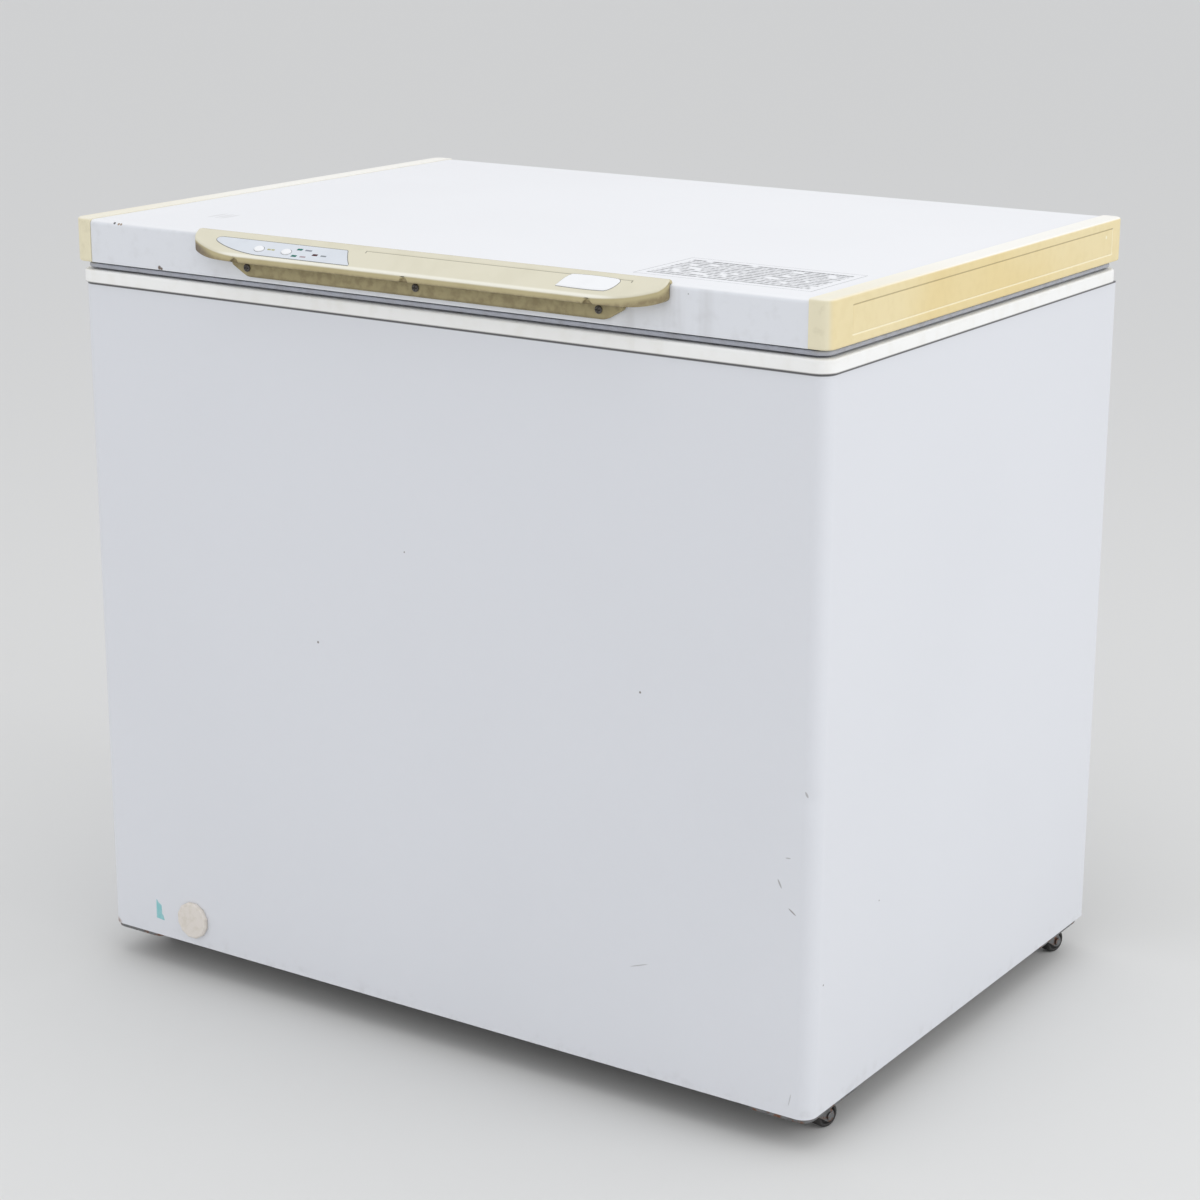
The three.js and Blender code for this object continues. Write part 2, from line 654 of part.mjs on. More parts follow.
// One sheet folded over the lid's front, top and back, with inward folds at its lower edges.
function lidSkin() {
  const y = SHEET_Y;
  const [low, high] = [LID_BOTTOM, SHEET_TOP];
  const inner = LID_BEND - STEEL;
  const section = new THREE.Shape();
  section.moveTo(-y + LID_RETURN, low);
  section.lineTo(-y + LID_RETURN, low + STEEL);
  section.lineTo(-y + STEEL, low + STEEL);
  section.lineTo(-y + STEEL, high - LID_BEND);
  section.absarc(-y + LID_BEND, high - LID_BEND, inner, Math.PI, Math.PI / 2, true);
  section.lineTo(y - LID_BEND, high - STEEL);
  section.absarc(y - LID_BEND, high - LID_BEND, inner, Math.PI / 2, 0, true);
  section.lineTo(y - STEEL, low + STEEL);
  section.lineTo(y - LID_RETURN, low + STEEL);
  section.lineTo(y - LID_RETURN, low);
  section.lineTo(y, low);
  section.lineTo(y, high - LID_BEND);
  section.absarc(y - LID_BEND, high - LID_BEND, LID_BEND, 0, Math.PI / 2);
  section.lineTo(-y + LID_BEND, high);
  section.absarc(-y + LID_BEND, high - LID_BEND, LID_BEND, Math.PI / 2, Math.PI);
  section.lineTo(-y, low);
  return cut(prism(section, "x", -SHEET_X, SHEET_X, 2), ...screwHoles());
}

const PLUG_X = TUB_X - MOUTH_INSET - PLUG_CLEARANCE;
const PLUG_Y = TUB_Y - MOUTH_INSET - PLUG_CLEARANCE;
const PLUG_BOTTOM = TRIM_TOP - PLUG_DROP;
const FLANGE = LID_BOTTOM + STEEL + GAP;

// Inner lid: a flange behind the gasket and a shallow plug that hangs in the tub's mouth.
function lidLiner() {
  const sheet = TUB_SHEET;
  const flange = block(
    [-SHEET_X + 1, -SHEET_Y + STEEL + GAP, FLANGE],
    [SHEET_X - 1, SHEET_Y - STEEL - GAP, FLANGE + sheet],
  );
  const plug = pillar(PLUG_X, PLUG_Y, 20, PLUG_BOTTOM, FLANGE + 1);
  const hollow = pillar(PLUG_X - sheet, PLUG_Y - sheet, 20 - sheet, PLUG_BOTTOM + sheet, FLANGE + 20);
  return cut(join(flange, plug), hollow);
}

function lidFoam() {
  const base = FLANGE + TUB_SHEET + GAP;
  const [x, y] = [SHEET_X - 1, SHEET_Y - 6];
  const slab = block([-x, -y, base], [x, y, SHEET_TOP - STEEL - GAP]);
  const inset = TUB_SHEET + GAP;
  const plug = pillar(PLUG_X - inset, PLUG_Y - inset, 18, PLUG_BOTTOM + inset, base + 1);
  return join(slab, plug);
}

function lidGasket() {
  const inset = 3;
  const width = 24;
  const outline = rounded(-HALF_X + inset, -HALF_Y + inset, HALF_X - inset, HALF_Y - inset, CORNER - inset);
  const hole = inset + width;
  outline.holes.push(rounded(-HALF_X + hole, -HALF_Y + hole, HALF_X - hole, HALF_Y - hole, 4, THREE.Path));
  return prism(outline, "z", TRIM_TOP + GAP, LID_BOTTOM - GAP);
}

// End cap for the +X side: a moulded channel, open towards the lid.
function lidCap() {
  const channel = (inset, from, to) => {
    const outX = LID_X - inset;
    const y = CAP_Y - inset;
    const radius = CAP_CORNER - inset;
    const inX = LID_X - CAP_WIDTH - (inset > 0 ? 5 : 0);
    const outline = new THREE.Shape();
    outline.moveTo(inX, -y);
    outline.lineTo(outX - radius, -y);
    outline.absarc(outX - radius, -y + radius, radius, -Math.PI / 2, 0);
    outline.lineTo(outX, y - radius);
    outline.absarc(outX - radius, y - radius, radius, 0, Math.PI / 2);
    outline.lineTo(inX, y);
    return prism(outline, "z", from, to);
  };
  return cut(channel(0, LID_BOTTOM, LID_TOP), channel(CAP_WALL, LID_BOTTOM + CAP_WALL, LID_TOP - CAP_WALL));
}

add("lid_skin", lidSkin(), "lidEnamel");
add("lid_foam", lidFoam(), "foam");
add("lid_liner", lidLiner(), "tub");
add("lid_gasket", lidGasket(), "rubber");
add("lid_cap_right", lidCap(), "agedPlastic");
add("lid_cap_left", lidCap().rotateZ(Math.PI), "agedPlastic");

// Grip bar --------------------------------------------------------------------------------------

// Top view of the bar: straight front, long soft curves to blunt ends. Inset offsets it inwards.
function gripPlan(inset, from, to) {
  const half = GRIP_HALF - inset;
  const front = GRIP_FRONT + inset;
  const back = -SHEET_Y + GRIP_HOOK;
  const shoulder = front + 20; // where the long curve meets the blunt end
  const curve = 75; // length of the long curve
  const outline = new THREE.Shape();
  outline.moveTo(-half + curve, front);
  outline.lineTo(half - curve, front);
  outline.quadraticCurveTo(half - curve * 0.5, front + 1, half - 6, shoulder - 5);
  outline.quadraticCurveTo(half, shoulder, half, shoulder + 7);
  outline.lineTo(half, back);
  outline.lineTo(-half, back);
  outline.lineTo(-half, shoulder + 7);
  outline.quadraticCurveTo(-half, shoulder, -half + 6, shoulder - 5);
  outline.quadraticCurveTo(-half + curve * 0.5, front + 1, -half + curve, front);
  return prism(outline, "z", from, to, 5).translate(GRIP_X, 0, 0);
}

// Height of the control face above a point forward of its upper edge.
const slopeAt = (y) => GRIP_TOP + (y + SHEET_Y + 0.5) * Math.tan(SLOPE);

// Section of the bar, from the edge that laps over the lid down to the front lip.
function gripSection() {
  const [front, back] = [GRIP_FRONT, -SHEET_Y - GAP];
  const lap = -SHEET_Y + GRIP_HOOK - 0.5;
  return polygon([
    [lap, SHEET_TOP + GAP + 0.1], [lap, GRIP_TOP - 0.6], [lap - 0.8, GRIP_TOP], [-SHEET_Y - 0.5, GRIP_TOP],
    [front + 4, slopeAt(front + 4)], [front + 1.4, slopeAt(front + 3)], [front, slopeAt(front) - 1.5],
    [front, GRIP_BOTTOM + 2.5], [front + 0.8, GRIP_BOTTOM + 0.8], [front + 2.5, GRIP_BOTTOM],
    [back, GRIP_BOTTOM], [back, SHEET_TOP + GAP + 0.1],
  ]);
}

function gripHollow() {
  const drop = GRIP_WALL / Math.cos(SLOPE);
  const back = -SHEET_Y - GAP - GRIP_WALL;
  const front = GRIP_FRONT + GRIP_WALL + 0.3;
  return polygon([
    [back, GRIP_BOTTOM - 5], [back, slopeAt(back) - drop], [front + 2, slopeAt(front + 2) - drop],
    [front, slopeAt(front) - drop - 1.5], [front, GRIP_BOTTOM - 5],
  ]);
}

// The control face's own frame: X along the bar, Y up the slope, Z out of the face.
const FACE = new THREE.Matrix4()
  .makeRotationX(SLOPE)
  .setPosition(0, -SHEET_Y - 0.5, GRIP_TOP);
const onFace = (geometry) => geometry.applyMatrix4(FACE);

// Film over the controls; grow widens it to make its recess.
function overlayOutline(grow) {
  const [left, right] = [-262 - grow, -84 + grow];
  const [top, low] = [-8.5 + grow, -29.5 - grow];
  const outline = new THREE.Shape();
  outline.moveTo(left + 46, low);
  outline.lineTo(right + 7, low);
  outline.lineTo(right - 6, top);
  outline.lineTo(left + 8, top);
  outline.quadraticCurveTo(left - 2, top - 5, left + 6, low + 9);
  outline.quadraticCurveTo(left + 22, low + 2, left + 46, low);
  return outline;
}

function badgeOutline(grow) {
  const [x, v] = BADGE_AT;
  const [w, h] = [BADGE_SIZE[0] / 2 + grow, BADGE_SIZE[1] / 2 + grow];
  const lean = 4; // the short ends lean with the slope of the bar
  const outline = new THREE.Shape();
  outline.moveTo(x - w - lean, -v - h);
  outline.quadraticCurveTo(x, -v - h - 1.5, x + w - lean - 8, -v - h);
  outline.quadraticCurveTo(x + w - lean, -v - h + 2, x + w, -v + h - 5);
  outline.quadraticCurveTo(x + w + 1, -v + h, x + w - 7, -v + h);
  outline.quadraticCurveTo(x, -v + h + 1.5, x - w + lean + 4, -v + h);
  outline.quadraticCurveTo(x - w + 1, -v + h - 2, x - w - lean, -v - h);
  return outline;
}

function buttonHoles(radius, from, to) {
  return BUTTONS.map(([, x]) => rod(radius, from, to, 20).translate(x, -BUTTON_V, 0));
}

function lampHoles(from, to) {
  const [w, h] = LAMP_SIZE;
  return LAMPS.map(([, x, v]) =>
    block([x - w / 2 - GAP, -v - h / 2 - GAP, from], [x + w / 2 + GAP, -v + h / 2 + GAP, to]),
  );
}

function screwHoles() {
  return SCREWS.map(([, x]) =>
    alongY(rod(SCREW_RADIUS + GAP, -12, 12, 12)).translate(x, -SHEET_Y, SCREW_Z),
  );
}

function gripCover() {
  const [low, high] = [GRIP_BOTTOM - 6, GRIP_TOP + 6];
  const reach = GRIP_HALF + 10;
  const body = common(prism(gripSection(), "x", -reach, reach), gripPlan(0, low, high));
  const hollow = common(prism(gripHollow(), "x", -reach, reach), gripPlan(GRIP_WALL, low - 5, high));
  const recess = onFace(prism(overlayOutline(2 * GAP), "z", -OVERLAY_THICK - GAP, 5, 3));
  const badgeSeat = onFace(prism(badgeOutline(GAP), "z", -0.8, 5, 4));
  const holes = [...buttonHoles(BUTTON_HOLE, -6, 5), ...lampHoles(-6, 5)].map(onFace);
  return cut(body, hollow, recess, badgeSeat, ...holes);
}

// Skirt that is screwed to the lid, with a shelf that closes the bar from below.
function gripBase() {
  const back = -SHEET_Y - GAP;
  const face = back - SKIRT_THICK;
  const low = GRIP_BOTTOM - SKIRT_DROP;
  const top = GRIP_BOTTOM - GAP;
  const shelf = GRIP_BOTTOM + 0.5;
  const neck = back - GRIP_WALL - GAP;
  const neckHalf = SKIRT_HALF + 10;
  const outline = polygon([
    [low, GRIP_X + SKIRT_HALF], [low, GRIP_X - SKIRT_HALF], [low + 12, GRIP_X - SKIRT_TOP_HALF],
    [top, GRIP_X - SKIRT_TOP_HALF], [top, GRIP_X + SKIRT_TOP_HALF], [low + 12, GRIP_X + SKIRT_TOP_HALF],
  ]);
  const plate = join(
    prism(outline, "y", face, back),
    block([GRIP_X - neckHalf, face + 1, top - 6], [GRIP_X + neckHalf, neck - 0.4, shelf + 1]),
    common(gripPlan(GRIP_WALL + 2 * GAP, shelf, shelf + 2), block([-400, -500, 0], [400, neck, 1000])),
  );
  return cut(plate, ...screwHoles());
}

function gripScrew() {
  const head = SKIRT_THICK + GAP * 2;
  const profile = [
    [0, -5], [SCREW_RADIUS, -5], [SCREW_RADIUS, head], [4.2, head], [4.2, head + 1], [3, head + 2.2],
    [0, head + 2.4],
  ];
  return turned(profile, 12).rotateX(Math.PI / 2).translate(0, -SHEET_Y, SCREW_Z);
}

// Board behind the overlay, clear of the buttons' travel.
function controlBoard() {
  const [top, thick] = [-7.2, 1.4];
  return onFace(block([-225, -29, top - thick], [-100, -12, top]));
}

// Push button: a plain cap that stands out of the film and is guided by its hole.
function pushButton(x) {
  const r = BUTTON_RADIUS;
  const profile = [[0, -5], [r, -5], [r, 0.8], [r - 0.7, 1.3], [0, 1.4]];
  return onFace(turned(profile, 20).translate(x, -BUTTON_V, 0));
}

function lampLens(x, v) {
  const [w, h] = [LAMP_SIZE[0] / 2, LAMP_SIZE[1] / 2];
  return onFace(block([x - w, -v - h, -4.5], [x + w, -v + h, 0.2]));
}

function controlOverlay() {
  const film = prism(overlayOutline(0), "z", -OVERLAY_THICK, 0, 3);
  return onFace(cut(film, ...buttonHoles(BUTTON_HOLE, -5, 5), ...lampHoles(-5, 5)));
}

add("grip_cover", gripCover(), "gripPlastic");
add("grip_base", gripBase(), "gripPlastic");
add("control_overlay", controlOverlay(), "overlay");
add("control_board", controlBoard(), "board");
add("badge_plate", onFace(prism(badgeOutline(0), "z", -0.5, 0.7, 4)), "button");
for (const [name, x] of BUTTONS) add(name, pushButton(x), "button");
for (const [name, x, v] of LAMPS)
  add(name, lampLens(x, v), name === "warning_lamp" ? "redLens" : "greenLens");
for (const [place, x] of SCREWS) add(`grip_screw_${place}`, gripScrew().translate(x, 0, 0), "zinc");

// Hinges ----------------------------------------------------------------------------------------

const pinHole = () => alongX(rod(PIN + GAP, -50, 50, 16)).translate(0, PIVOT_Y, PIVOT_Z);

// Cabinet leaf: a plate on the back sheet with two ears that carry the pin.
function hingeBase() {
  const face = HALF_Y + GAP;
  const ear = new THREE.Shape();
  ear.moveTo(face, STEEL_TOP - 40);
  ear.lineTo(face + 5, STEEL_TOP - 40);
  ear.lineTo(PIVOT_Y + KNUCKLE, PIVOT_Z - 6);
  ear.absarc(PIVOT_Y, PIVOT_Z, KNUCKLE, 0, Math.PI);
  ear.lineTo(HALF_Y + TRIM_PROUD + 1, STEEL_TOP - 1);
  ear.lineTo(face, STEEL_TOP - 2);
  const inner = HINGE_HALF - 14;
  return cut(
    join(
      block([-HINGE_HALF, face, STEEL_TOP - 64], [HINGE_HALF, face + 2, STEEL_TOP - 2]),
      prism(ear, "x", inner, HINGE_HALF, 4),
      prism(ear, "x", -HINGE_HALF, -inner, 4),
    ),
    pinHole(),
  );
}

// Lid leaf: a plate on the lid's back with one knuckle between the ears.
function hingeArm() {
  const face = SHEET_Y + GAP;
  const low = LID_BOTTOM + 6;
  const half = HINGE_HALF - 14 - GAP;
  const knuckle = new THREE.Shape();
  knuckle.moveTo(face, low + 20);
  knuckle.lineTo(face, low - 1);
  knuckle.lineTo(PIVOT_Y - KNUCKLE, PIVOT_Z);
  knuckle.absarc(PIVOT_Y, PIVOT_Z, KNUCKLE, Math.PI, Math.PI * 2.25);
  knuckle.lineTo(face + 2, low + 20);
  return cut(
    join(
      block([-HINGE_HALF, face, low], [HINGE_HALF, face + 2, LID_TOP - 9]),
      prism(knuckle, "x", -half, half, 4),
    ),
    pinHole(),
  );
}

function hingePin() {
  const out = HINGE_HALF + GAP;
  const profile = [
    [0, -out - 1.5], [4.5, -out - 1.5], [4.5, -out], [PIN, -out], [PIN, out], [4.5, out], [4.5, out + 1.5],
    [0, out + 1.5],
  ];
  return alongX(turned(profile, 12)).translate(0, PIVOT_Y, PIVOT_Z);
}

for (const [side, x] of [["left", -HINGE_X], ["right", HINGE_X]]) {
  add(`hinge_base_${side}`, hingeBase().translate(x, 0, 0), "zinc");
  add(`hinge_arm_${side}`, hingeArm().translate(x, 0, 0), "zinc");
  add(`hinge_pin_${side}`, hingePin().translate(x, 0, 0), "zinc");
}

// The bar reaches further forward than the hinges reach back, so the middle lies a little forward.
freezer.position.y = (-GRIP_FRONT - (PIVOT_Y + KNUCKLE)) / 2;

export default freezer;
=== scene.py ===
"""Chest freezer on casters: the looks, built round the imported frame.

Lengths are in millimetres and become metres where a mesh is made; finishes read Object coordinates, which
are in metres. Places come from the boxes of the frame's nodes. The front faces -Y and +Z is up.
"""

import json
import math

import bmesh
import bpy
import numpy as np
from mathutils import Matrix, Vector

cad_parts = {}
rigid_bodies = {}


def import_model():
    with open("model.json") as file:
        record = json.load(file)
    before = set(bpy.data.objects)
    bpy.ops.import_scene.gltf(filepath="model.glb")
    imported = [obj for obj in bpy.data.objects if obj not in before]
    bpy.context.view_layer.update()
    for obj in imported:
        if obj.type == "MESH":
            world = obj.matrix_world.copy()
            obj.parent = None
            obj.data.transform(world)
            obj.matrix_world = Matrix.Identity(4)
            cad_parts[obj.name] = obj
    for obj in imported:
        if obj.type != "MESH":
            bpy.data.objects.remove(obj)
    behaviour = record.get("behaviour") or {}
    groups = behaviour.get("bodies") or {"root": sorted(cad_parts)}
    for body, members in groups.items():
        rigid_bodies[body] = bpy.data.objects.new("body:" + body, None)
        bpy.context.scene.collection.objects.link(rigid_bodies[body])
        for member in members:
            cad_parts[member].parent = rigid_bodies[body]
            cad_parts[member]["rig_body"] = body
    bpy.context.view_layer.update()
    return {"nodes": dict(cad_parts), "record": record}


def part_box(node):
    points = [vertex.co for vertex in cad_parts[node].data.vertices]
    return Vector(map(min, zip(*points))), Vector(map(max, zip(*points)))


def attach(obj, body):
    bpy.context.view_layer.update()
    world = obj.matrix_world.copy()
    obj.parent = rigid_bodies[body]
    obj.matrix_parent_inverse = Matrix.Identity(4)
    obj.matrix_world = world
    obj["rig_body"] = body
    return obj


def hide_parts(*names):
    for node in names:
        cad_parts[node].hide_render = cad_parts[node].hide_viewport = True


MM = 0.001

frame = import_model()


def box(node):
    """Lowest and highest corner of a node, in millimetres."""
    return np.array(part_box(node)) / MM


# Levels and sizes that the pieces share ---------------------------------------------------------

WRAP_LOW, WRAP_HIGH = box("cabinet_wrap")
TRIM_LOW, TRIM_HIGH = box("top_trim")
SKIN_LOW, SKIN_HIGH = box("lid_skin")
CAP_LOW, CAP_HIGH = box("lid_cap_right")
GRIP_LOW, GRIP_HIGH = box("grip_cover")
GRIP_BASE_LOW = box("grip_base")[0]
TUB_LOW, TUB_HIGH = box("tub_liner")
BASKET_LOW, BASKET_HIGH = box("basket")

SEAL_LOW, SEAL_HIGH = box("lid_gasket")
PLATE_BOTTOM = box("caster_plate_front_left")[0][2]

MIDDLE_Y = (WRAP_LOW[1] + WRAP_HIGH[1]) / 2
WRAP_CORNER = 16
GRIP_X = (GRIP_LOW[0] + GRIP_HIGH[0]) / 2
GRIP_HALF = (GRIP_HIGH[0] - GRIP_LOW[0]) / 2
SLOPE = math.radians(35)
SLOPE_Y = SKIN_LOW[1] - 0.5  # where the control face begins
GRIP_BOTTOM = GRIP_LOW[2]
SCREWS = {"left": -225, "middle": 0, "right": 225}  # the skirt's screws, along X

# Control face: X along the bar, V down the slope
BUTTON_V = 20.5
BUTTONS = {"power_button": -198, "fast_freeze_button": -161}
BUTTON_OVAL = (1.16, 0.76, 1)  # how far a round cap is stretched along the bar and across it
LAMPS = {"run_lamp": (-146, 15), "fast_freeze_lamp": (-148, 25), "warning_lamp": (-122.5, 20.5)}
GROOVE_V = 6
GROOVE_ENDS = (-63, 264)

# The sunk outline on each end cap's outer face, in Y and Z
CAP_PANEL_LOW = np.array([-288.0, CAP_LOW[2] + 9.6])
CAP_PANEL_HIGH = np.array([313.0, CAP_HIGH[2] - 10.2])

# The printed panel on the lid, in X and Y
NOTICE_LOW = np.array([236.0, -293.0])
NOTICE_HIGH = np.array([438.0, -180.0])

# Back sheet, in X and Z: the pressed panel and the air opening
PRESSED_LOW, PRESSED_HIGH = (-446, 84), (214, 724)
VENT_LOW, VENT_HIGH = (252, 92), (448, 298)

# Casters trail this way from their stems, by so much
HEADING = math.radians(75)
TRAIL = 20

# The middle of the drain cap's seat on the front
DRAIN = box("drain_cap").mean(0)
DRAIN[1] = WRAP_LOW[1]

DENT = np.array([468.0, -322.0, 381.0])


# Lines and surfaces -----------------------------------------------------------------------------


def unit(vector):
    vector = np.asarray(vector, float)
    return vector / np.linalg.norm(vector, axis=-1, keepdims=True)


def arc(centre, radius, start, end, count):
    """Circle: centre + radius * (cos a, sin a), with a from start to end degrees."""
    a = np.radians(np.linspace(start, end, count))
    return np.asarray(centre, float) + radius * np.stack([np.cos(a), np.sin(a)], -1)


def bow(first, pull, last, count):
    """Quadratic curve: (1-t)^2 first + 2t(1-t) pull + t^2 last."""
    t = np.linspace(0, 1, count)[:, None]
    first, pull, last = (np.asarray(p, float) for p in (first, pull, last))
    return (1 - t) ** 2 * first + 2 * t * (1 - t) * pull + t**2 * last


def round_rect(low, high, radius, count=9):
    """Four quarter circles joined by straight sides, anticlockwise."""
    (x0, y0), (x1, y1) = np.add(low, radius), np.subtract(high, radius)
    corners = [((x1, y0), -90), ((x1, y1), 0), ((x0, y1), 90), ((x0, y0), 180)]
    return np.concatenate([arc(centre, radius, a, a + 90, count) for centre, a in corners])


def softened(corners, radius, count=5, closed=False):
    """A chain of straight runs whose corners become quadratic curves that start a radius away."""
    corners = np.asarray(corners, float)
    size = len(corners)
    radii = np.broadcast_to(radius, size)
    points = []
    for i, corner in enumerate(corners):
        if not closed and i in (0, size - 1) or radii[i] == 0:
            points.append(corner[None])
            continue
        before = corner + radii[i] * unit(corners[i - 1] - corner)
        after = corner + radii[i] * unit(corners[(i + 1) % size] - corner)
        points.append(bow(before, corner, after, count))
    return np.concatenate(points)


def inset(outline, distance):
    """Moves a closed anticlockwise outline inwards, square to the chord of each point's neighbours."""
    chord = unit(np.roll(outline, -1, 0) - np.roll(outline, 1, 0))
    return outline - distance * np.stack([chord[:, 1], -chord[:, 0]], -1)


def level(outline, z):
    """A flat outline as points at height z."""
    outline = np.asarray(outline, float)
    return np.concatenate([outline, np.broadcast_to(np.reshape(z, (-1, 1)), (len(outline), 1))], 1)


def lofted(rings, around=True, along=False, capped=True):
    """Quads through rings[i, j]. around closes each ring, along joins the last ring to the first."""
    rings = np.asarray(rings, float)
    ids = np.arange(rings.shape[0] * rings.shape[1]).reshape(rings.shape[:2])
    grid = np.vstack([ids, ids[:1]]) if along else ids
    grid = np.hstack([grid, grid[:, :1]]) if around else grid
    quads = np.stack([grid[:-1, :-1], grid[:-1, 1:], grid[1:, 1:], grid[1:, :-1]], -1)
    faces = quads.reshape(-1, 4).tolist()
    if capped and not along:
        faces += [ids[0, ::-1].tolist(), ids[-1].tolist()]
    return rings.reshape(-1, 3), faces


def turned(profile, sides=48, closed=False):
    """A profile of (radius, height) turned about Z: (r cos a, r sin a, h)."""
    r, h = np.asarray(profile, float).T[:, :, None]
    a = np.linspace(0, 2 * np.pi, sides, endpoint=False)
    return lofted(np.stack([r * np.cos(a), r * np.sin(a), h + 0 * a], -1), along=closed, capped=False)


def tube(path, radius, plane, sides=8, closed=False):
    """A circle carried along a flat path: centre + radius * (cos a * plane + sin a * side)."""
    path = np.asarray(path, float)
    run = np.roll(path, -1, 0) - np.roll(path, 1, 0) if closed else np.gradient(path, axis=0)
    side = np.cross(unit(plane), unit(run))[:, None]
    a = np.linspace(0, 2 * np.pi, sides, endpoint=False)[:, None]
    rings = path[:, None] + radius * (np.cos(a) * unit(plane) + np.sin(a) * side)
    return lofted(rings, along=closed, capped=not closed)


def slab(outline, low, high, soft):
    """A plate over a closed outline, its upper edge rounded by a quarter circle of radius soft."""
    turn = np.radians(np.linspace(0, 90, 4))
    rings = [level(outline, low)]
    for t in turn:
        rings.append(level(inset(outline, soft * (1 - math.cos(t))), high - soft * (1 - math.sin(t))))
    return lofted(rings)


def bar(low, high, soft=0.6):
    """A straight bar between two corners, with rounded upright edges and upper edges."""
    return slab(round_rect(low[:2], high[:2], soft, 4), low[2], high[2], soft)


def set_at(part, origin, z_axis, x_axis=(1, 0, 0)):
    """Lays a part's own X and Z onto two directions, at an origin."""
    x, z = unit(x_axis), unit(z_axis)
    return part[0] @ np.stack([x, np.cross(z, x), z]) + np.asarray(origin, float), part[1]


def together(parts):
    """Several parts as one list of points and faces."""
    points, faces, start = [], [], 0
    for own_points, own_faces in parts:
        points.append(own_points)
        faces += [[i + start for i in face] for face in own_faces]
        start += len(own_points)
    return np.concatenate(points), faces


def on_face(part):
    """Lays a part on the grip bar's control face."""
    return set_at(part, (0, SLOPE_Y, GRIP_HIGH[2]), (0, -math.sin(SLOPE), math.cos(SLOPE)))


# Pieces -----------------------------------------------------------------------------------------


def shade(mesh, sharp):
    mesh.polygons.foreach_set("use_smooth", np.ones(len(mesh.polygons), bool))
    mesh.set_sharp_from_angle(angle=math.radians(sharp))


def link(name, data):
    made = bpy.data.objects.new(name, data)
    bpy.context.scene.collection.objects.link(made)
    return made


def meshed(name, part):
    """A part as a mesh in metres, with doubles merged, poles closed and faces turned outwards."""
    points, faces = part
    mesh = bpy.data.meshes.new(name)
    mesh.from_pydata((points * MM).tolist(), [], faces)
    gap = 2e-6
    work = bmesh.new()
    work.from_mesh(mesh)
    bmesh.ops.remove_doubles(work, verts=work.verts, dist=gap)
    bmesh.ops.dissolve_degenerate(work, edges=work.edges, dist=gap / 2)
    bmesh.ops.recalc_face_normals(work, faces=work.faces)
    work.to_mesh(mesh)
    work.free()
    return mesh


def modifier(target, kind, **settings):
    made = target.modifiers.new(kind.lower(), kind)
    for key, value in settings.items():
        setattr(made, key, value)
    return made


def piece(name, part, finish, body, replaces=(), sharp=40):
    """Makes a part a piece that rides on a body, with its finish and the nodes that it stands for."""
    mesh = meshed(name, part)
    shade(mesh, sharp)
    return owned(link(name, mesh), finish, body, replaces)


def owned(made, finish, body, replaces=()):
    """Gives a linked object its finish, body and the nodes that it stands for."""
    made.data.materials.clear()
    made.data.materials.append(finish.material)
    modifier(made, "WEIGHTED_NORMAL", keep_sharp=True)
    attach(made, body)
    if replaces:
        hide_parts(*replaces)
    return made


def eased(name, node, finish, width=0.5):
    """A merged copy of a node with its edges rounded."""
    source = frame["nodes"][node]
    mesh = source.data.copy()
    mesh.name = name
    work = bmesh.new()
    work.from_mesh(mesh)
    bmesh.ops.remove_doubles(work, verts=work.verts, dist=1e-5)
    bmesh.ops.dissolve_limit(
        work, angle_limit=math.radians(1), verts=work.verts, edges=work.edges, delimit={"NORMAL"}
    )
    work.to_mesh(mesh)
    work.free()
    shade(mesh, 35)
    made = link(name, mesh)
    modifier(
        made, "BEVEL", width=width * MM, segments=2, limit_method="ANGLE", angle_limit=math.radians(40),
        harden_normals=True, use_clamp_overlap=True,
    )
    owned(made, finish, source["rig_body"], [node])


def pierced(made, parts):
    """Cuts parts out of a piece's mesh for good."""
    cutter = link("cutter", meshed("cutter", together(parts)))
    hole = modifier(made, "BOOLEAN", operation="DIFFERENCE", solver="EXACT", object=cutter)
    shown = made.evaluated_get(bpy.context.evaluated_depsgraph_get())
    result = bpy.data.meshes.new_from_object(shown)
    made.modifiers.remove(hole)
    made.data = result
    bpy.data.objects.remove(cutter)


# Finishes ---------------------------------------------------------------------------------------


def tone(red, green, blue):
    """A display colour of 0 to 255 as a linear one."""
    share = np.array([red, green, blue]) / 255
    linear = np.where(share <= 0.04045, share / 12.92, ((share + 0.055) / 1.055) ** 2.4)
    return (*linear.tolist(), 1.0)


class Value:
    """A node's output, on which arithmetic adds Math nodes."""

    def __init__(self, finish, socket):
        self.finish = finish
        self.socket = socket

    def math(self, operation, *others, swap=False):
        values = (*others, self) if swap else (self, *others)
        return self.finish.node("ShaderNodeMath", {"operation": operation}, dict(enumerate(values)))

    def __add__(self, other):
        return self.math("ADD", other)

    def __sub__(self, other):
        return self.math("SUBTRACT", other)

    def __rsub__(self, other):
        return self.math("SUBTRACT", other, swap=True)

    def __mul__(self, other):
        return self.math("MULTIPLY", other)

    def __truediv__(self, other):
        return self.math("DIVIDE", other)

    def __abs__(self):
        return self.math("ABSOLUTE")

    def most(self, other):
        return self.math("MAXIMUM", other)

    __radd__ = __add__
    __rmul__ = __mul__


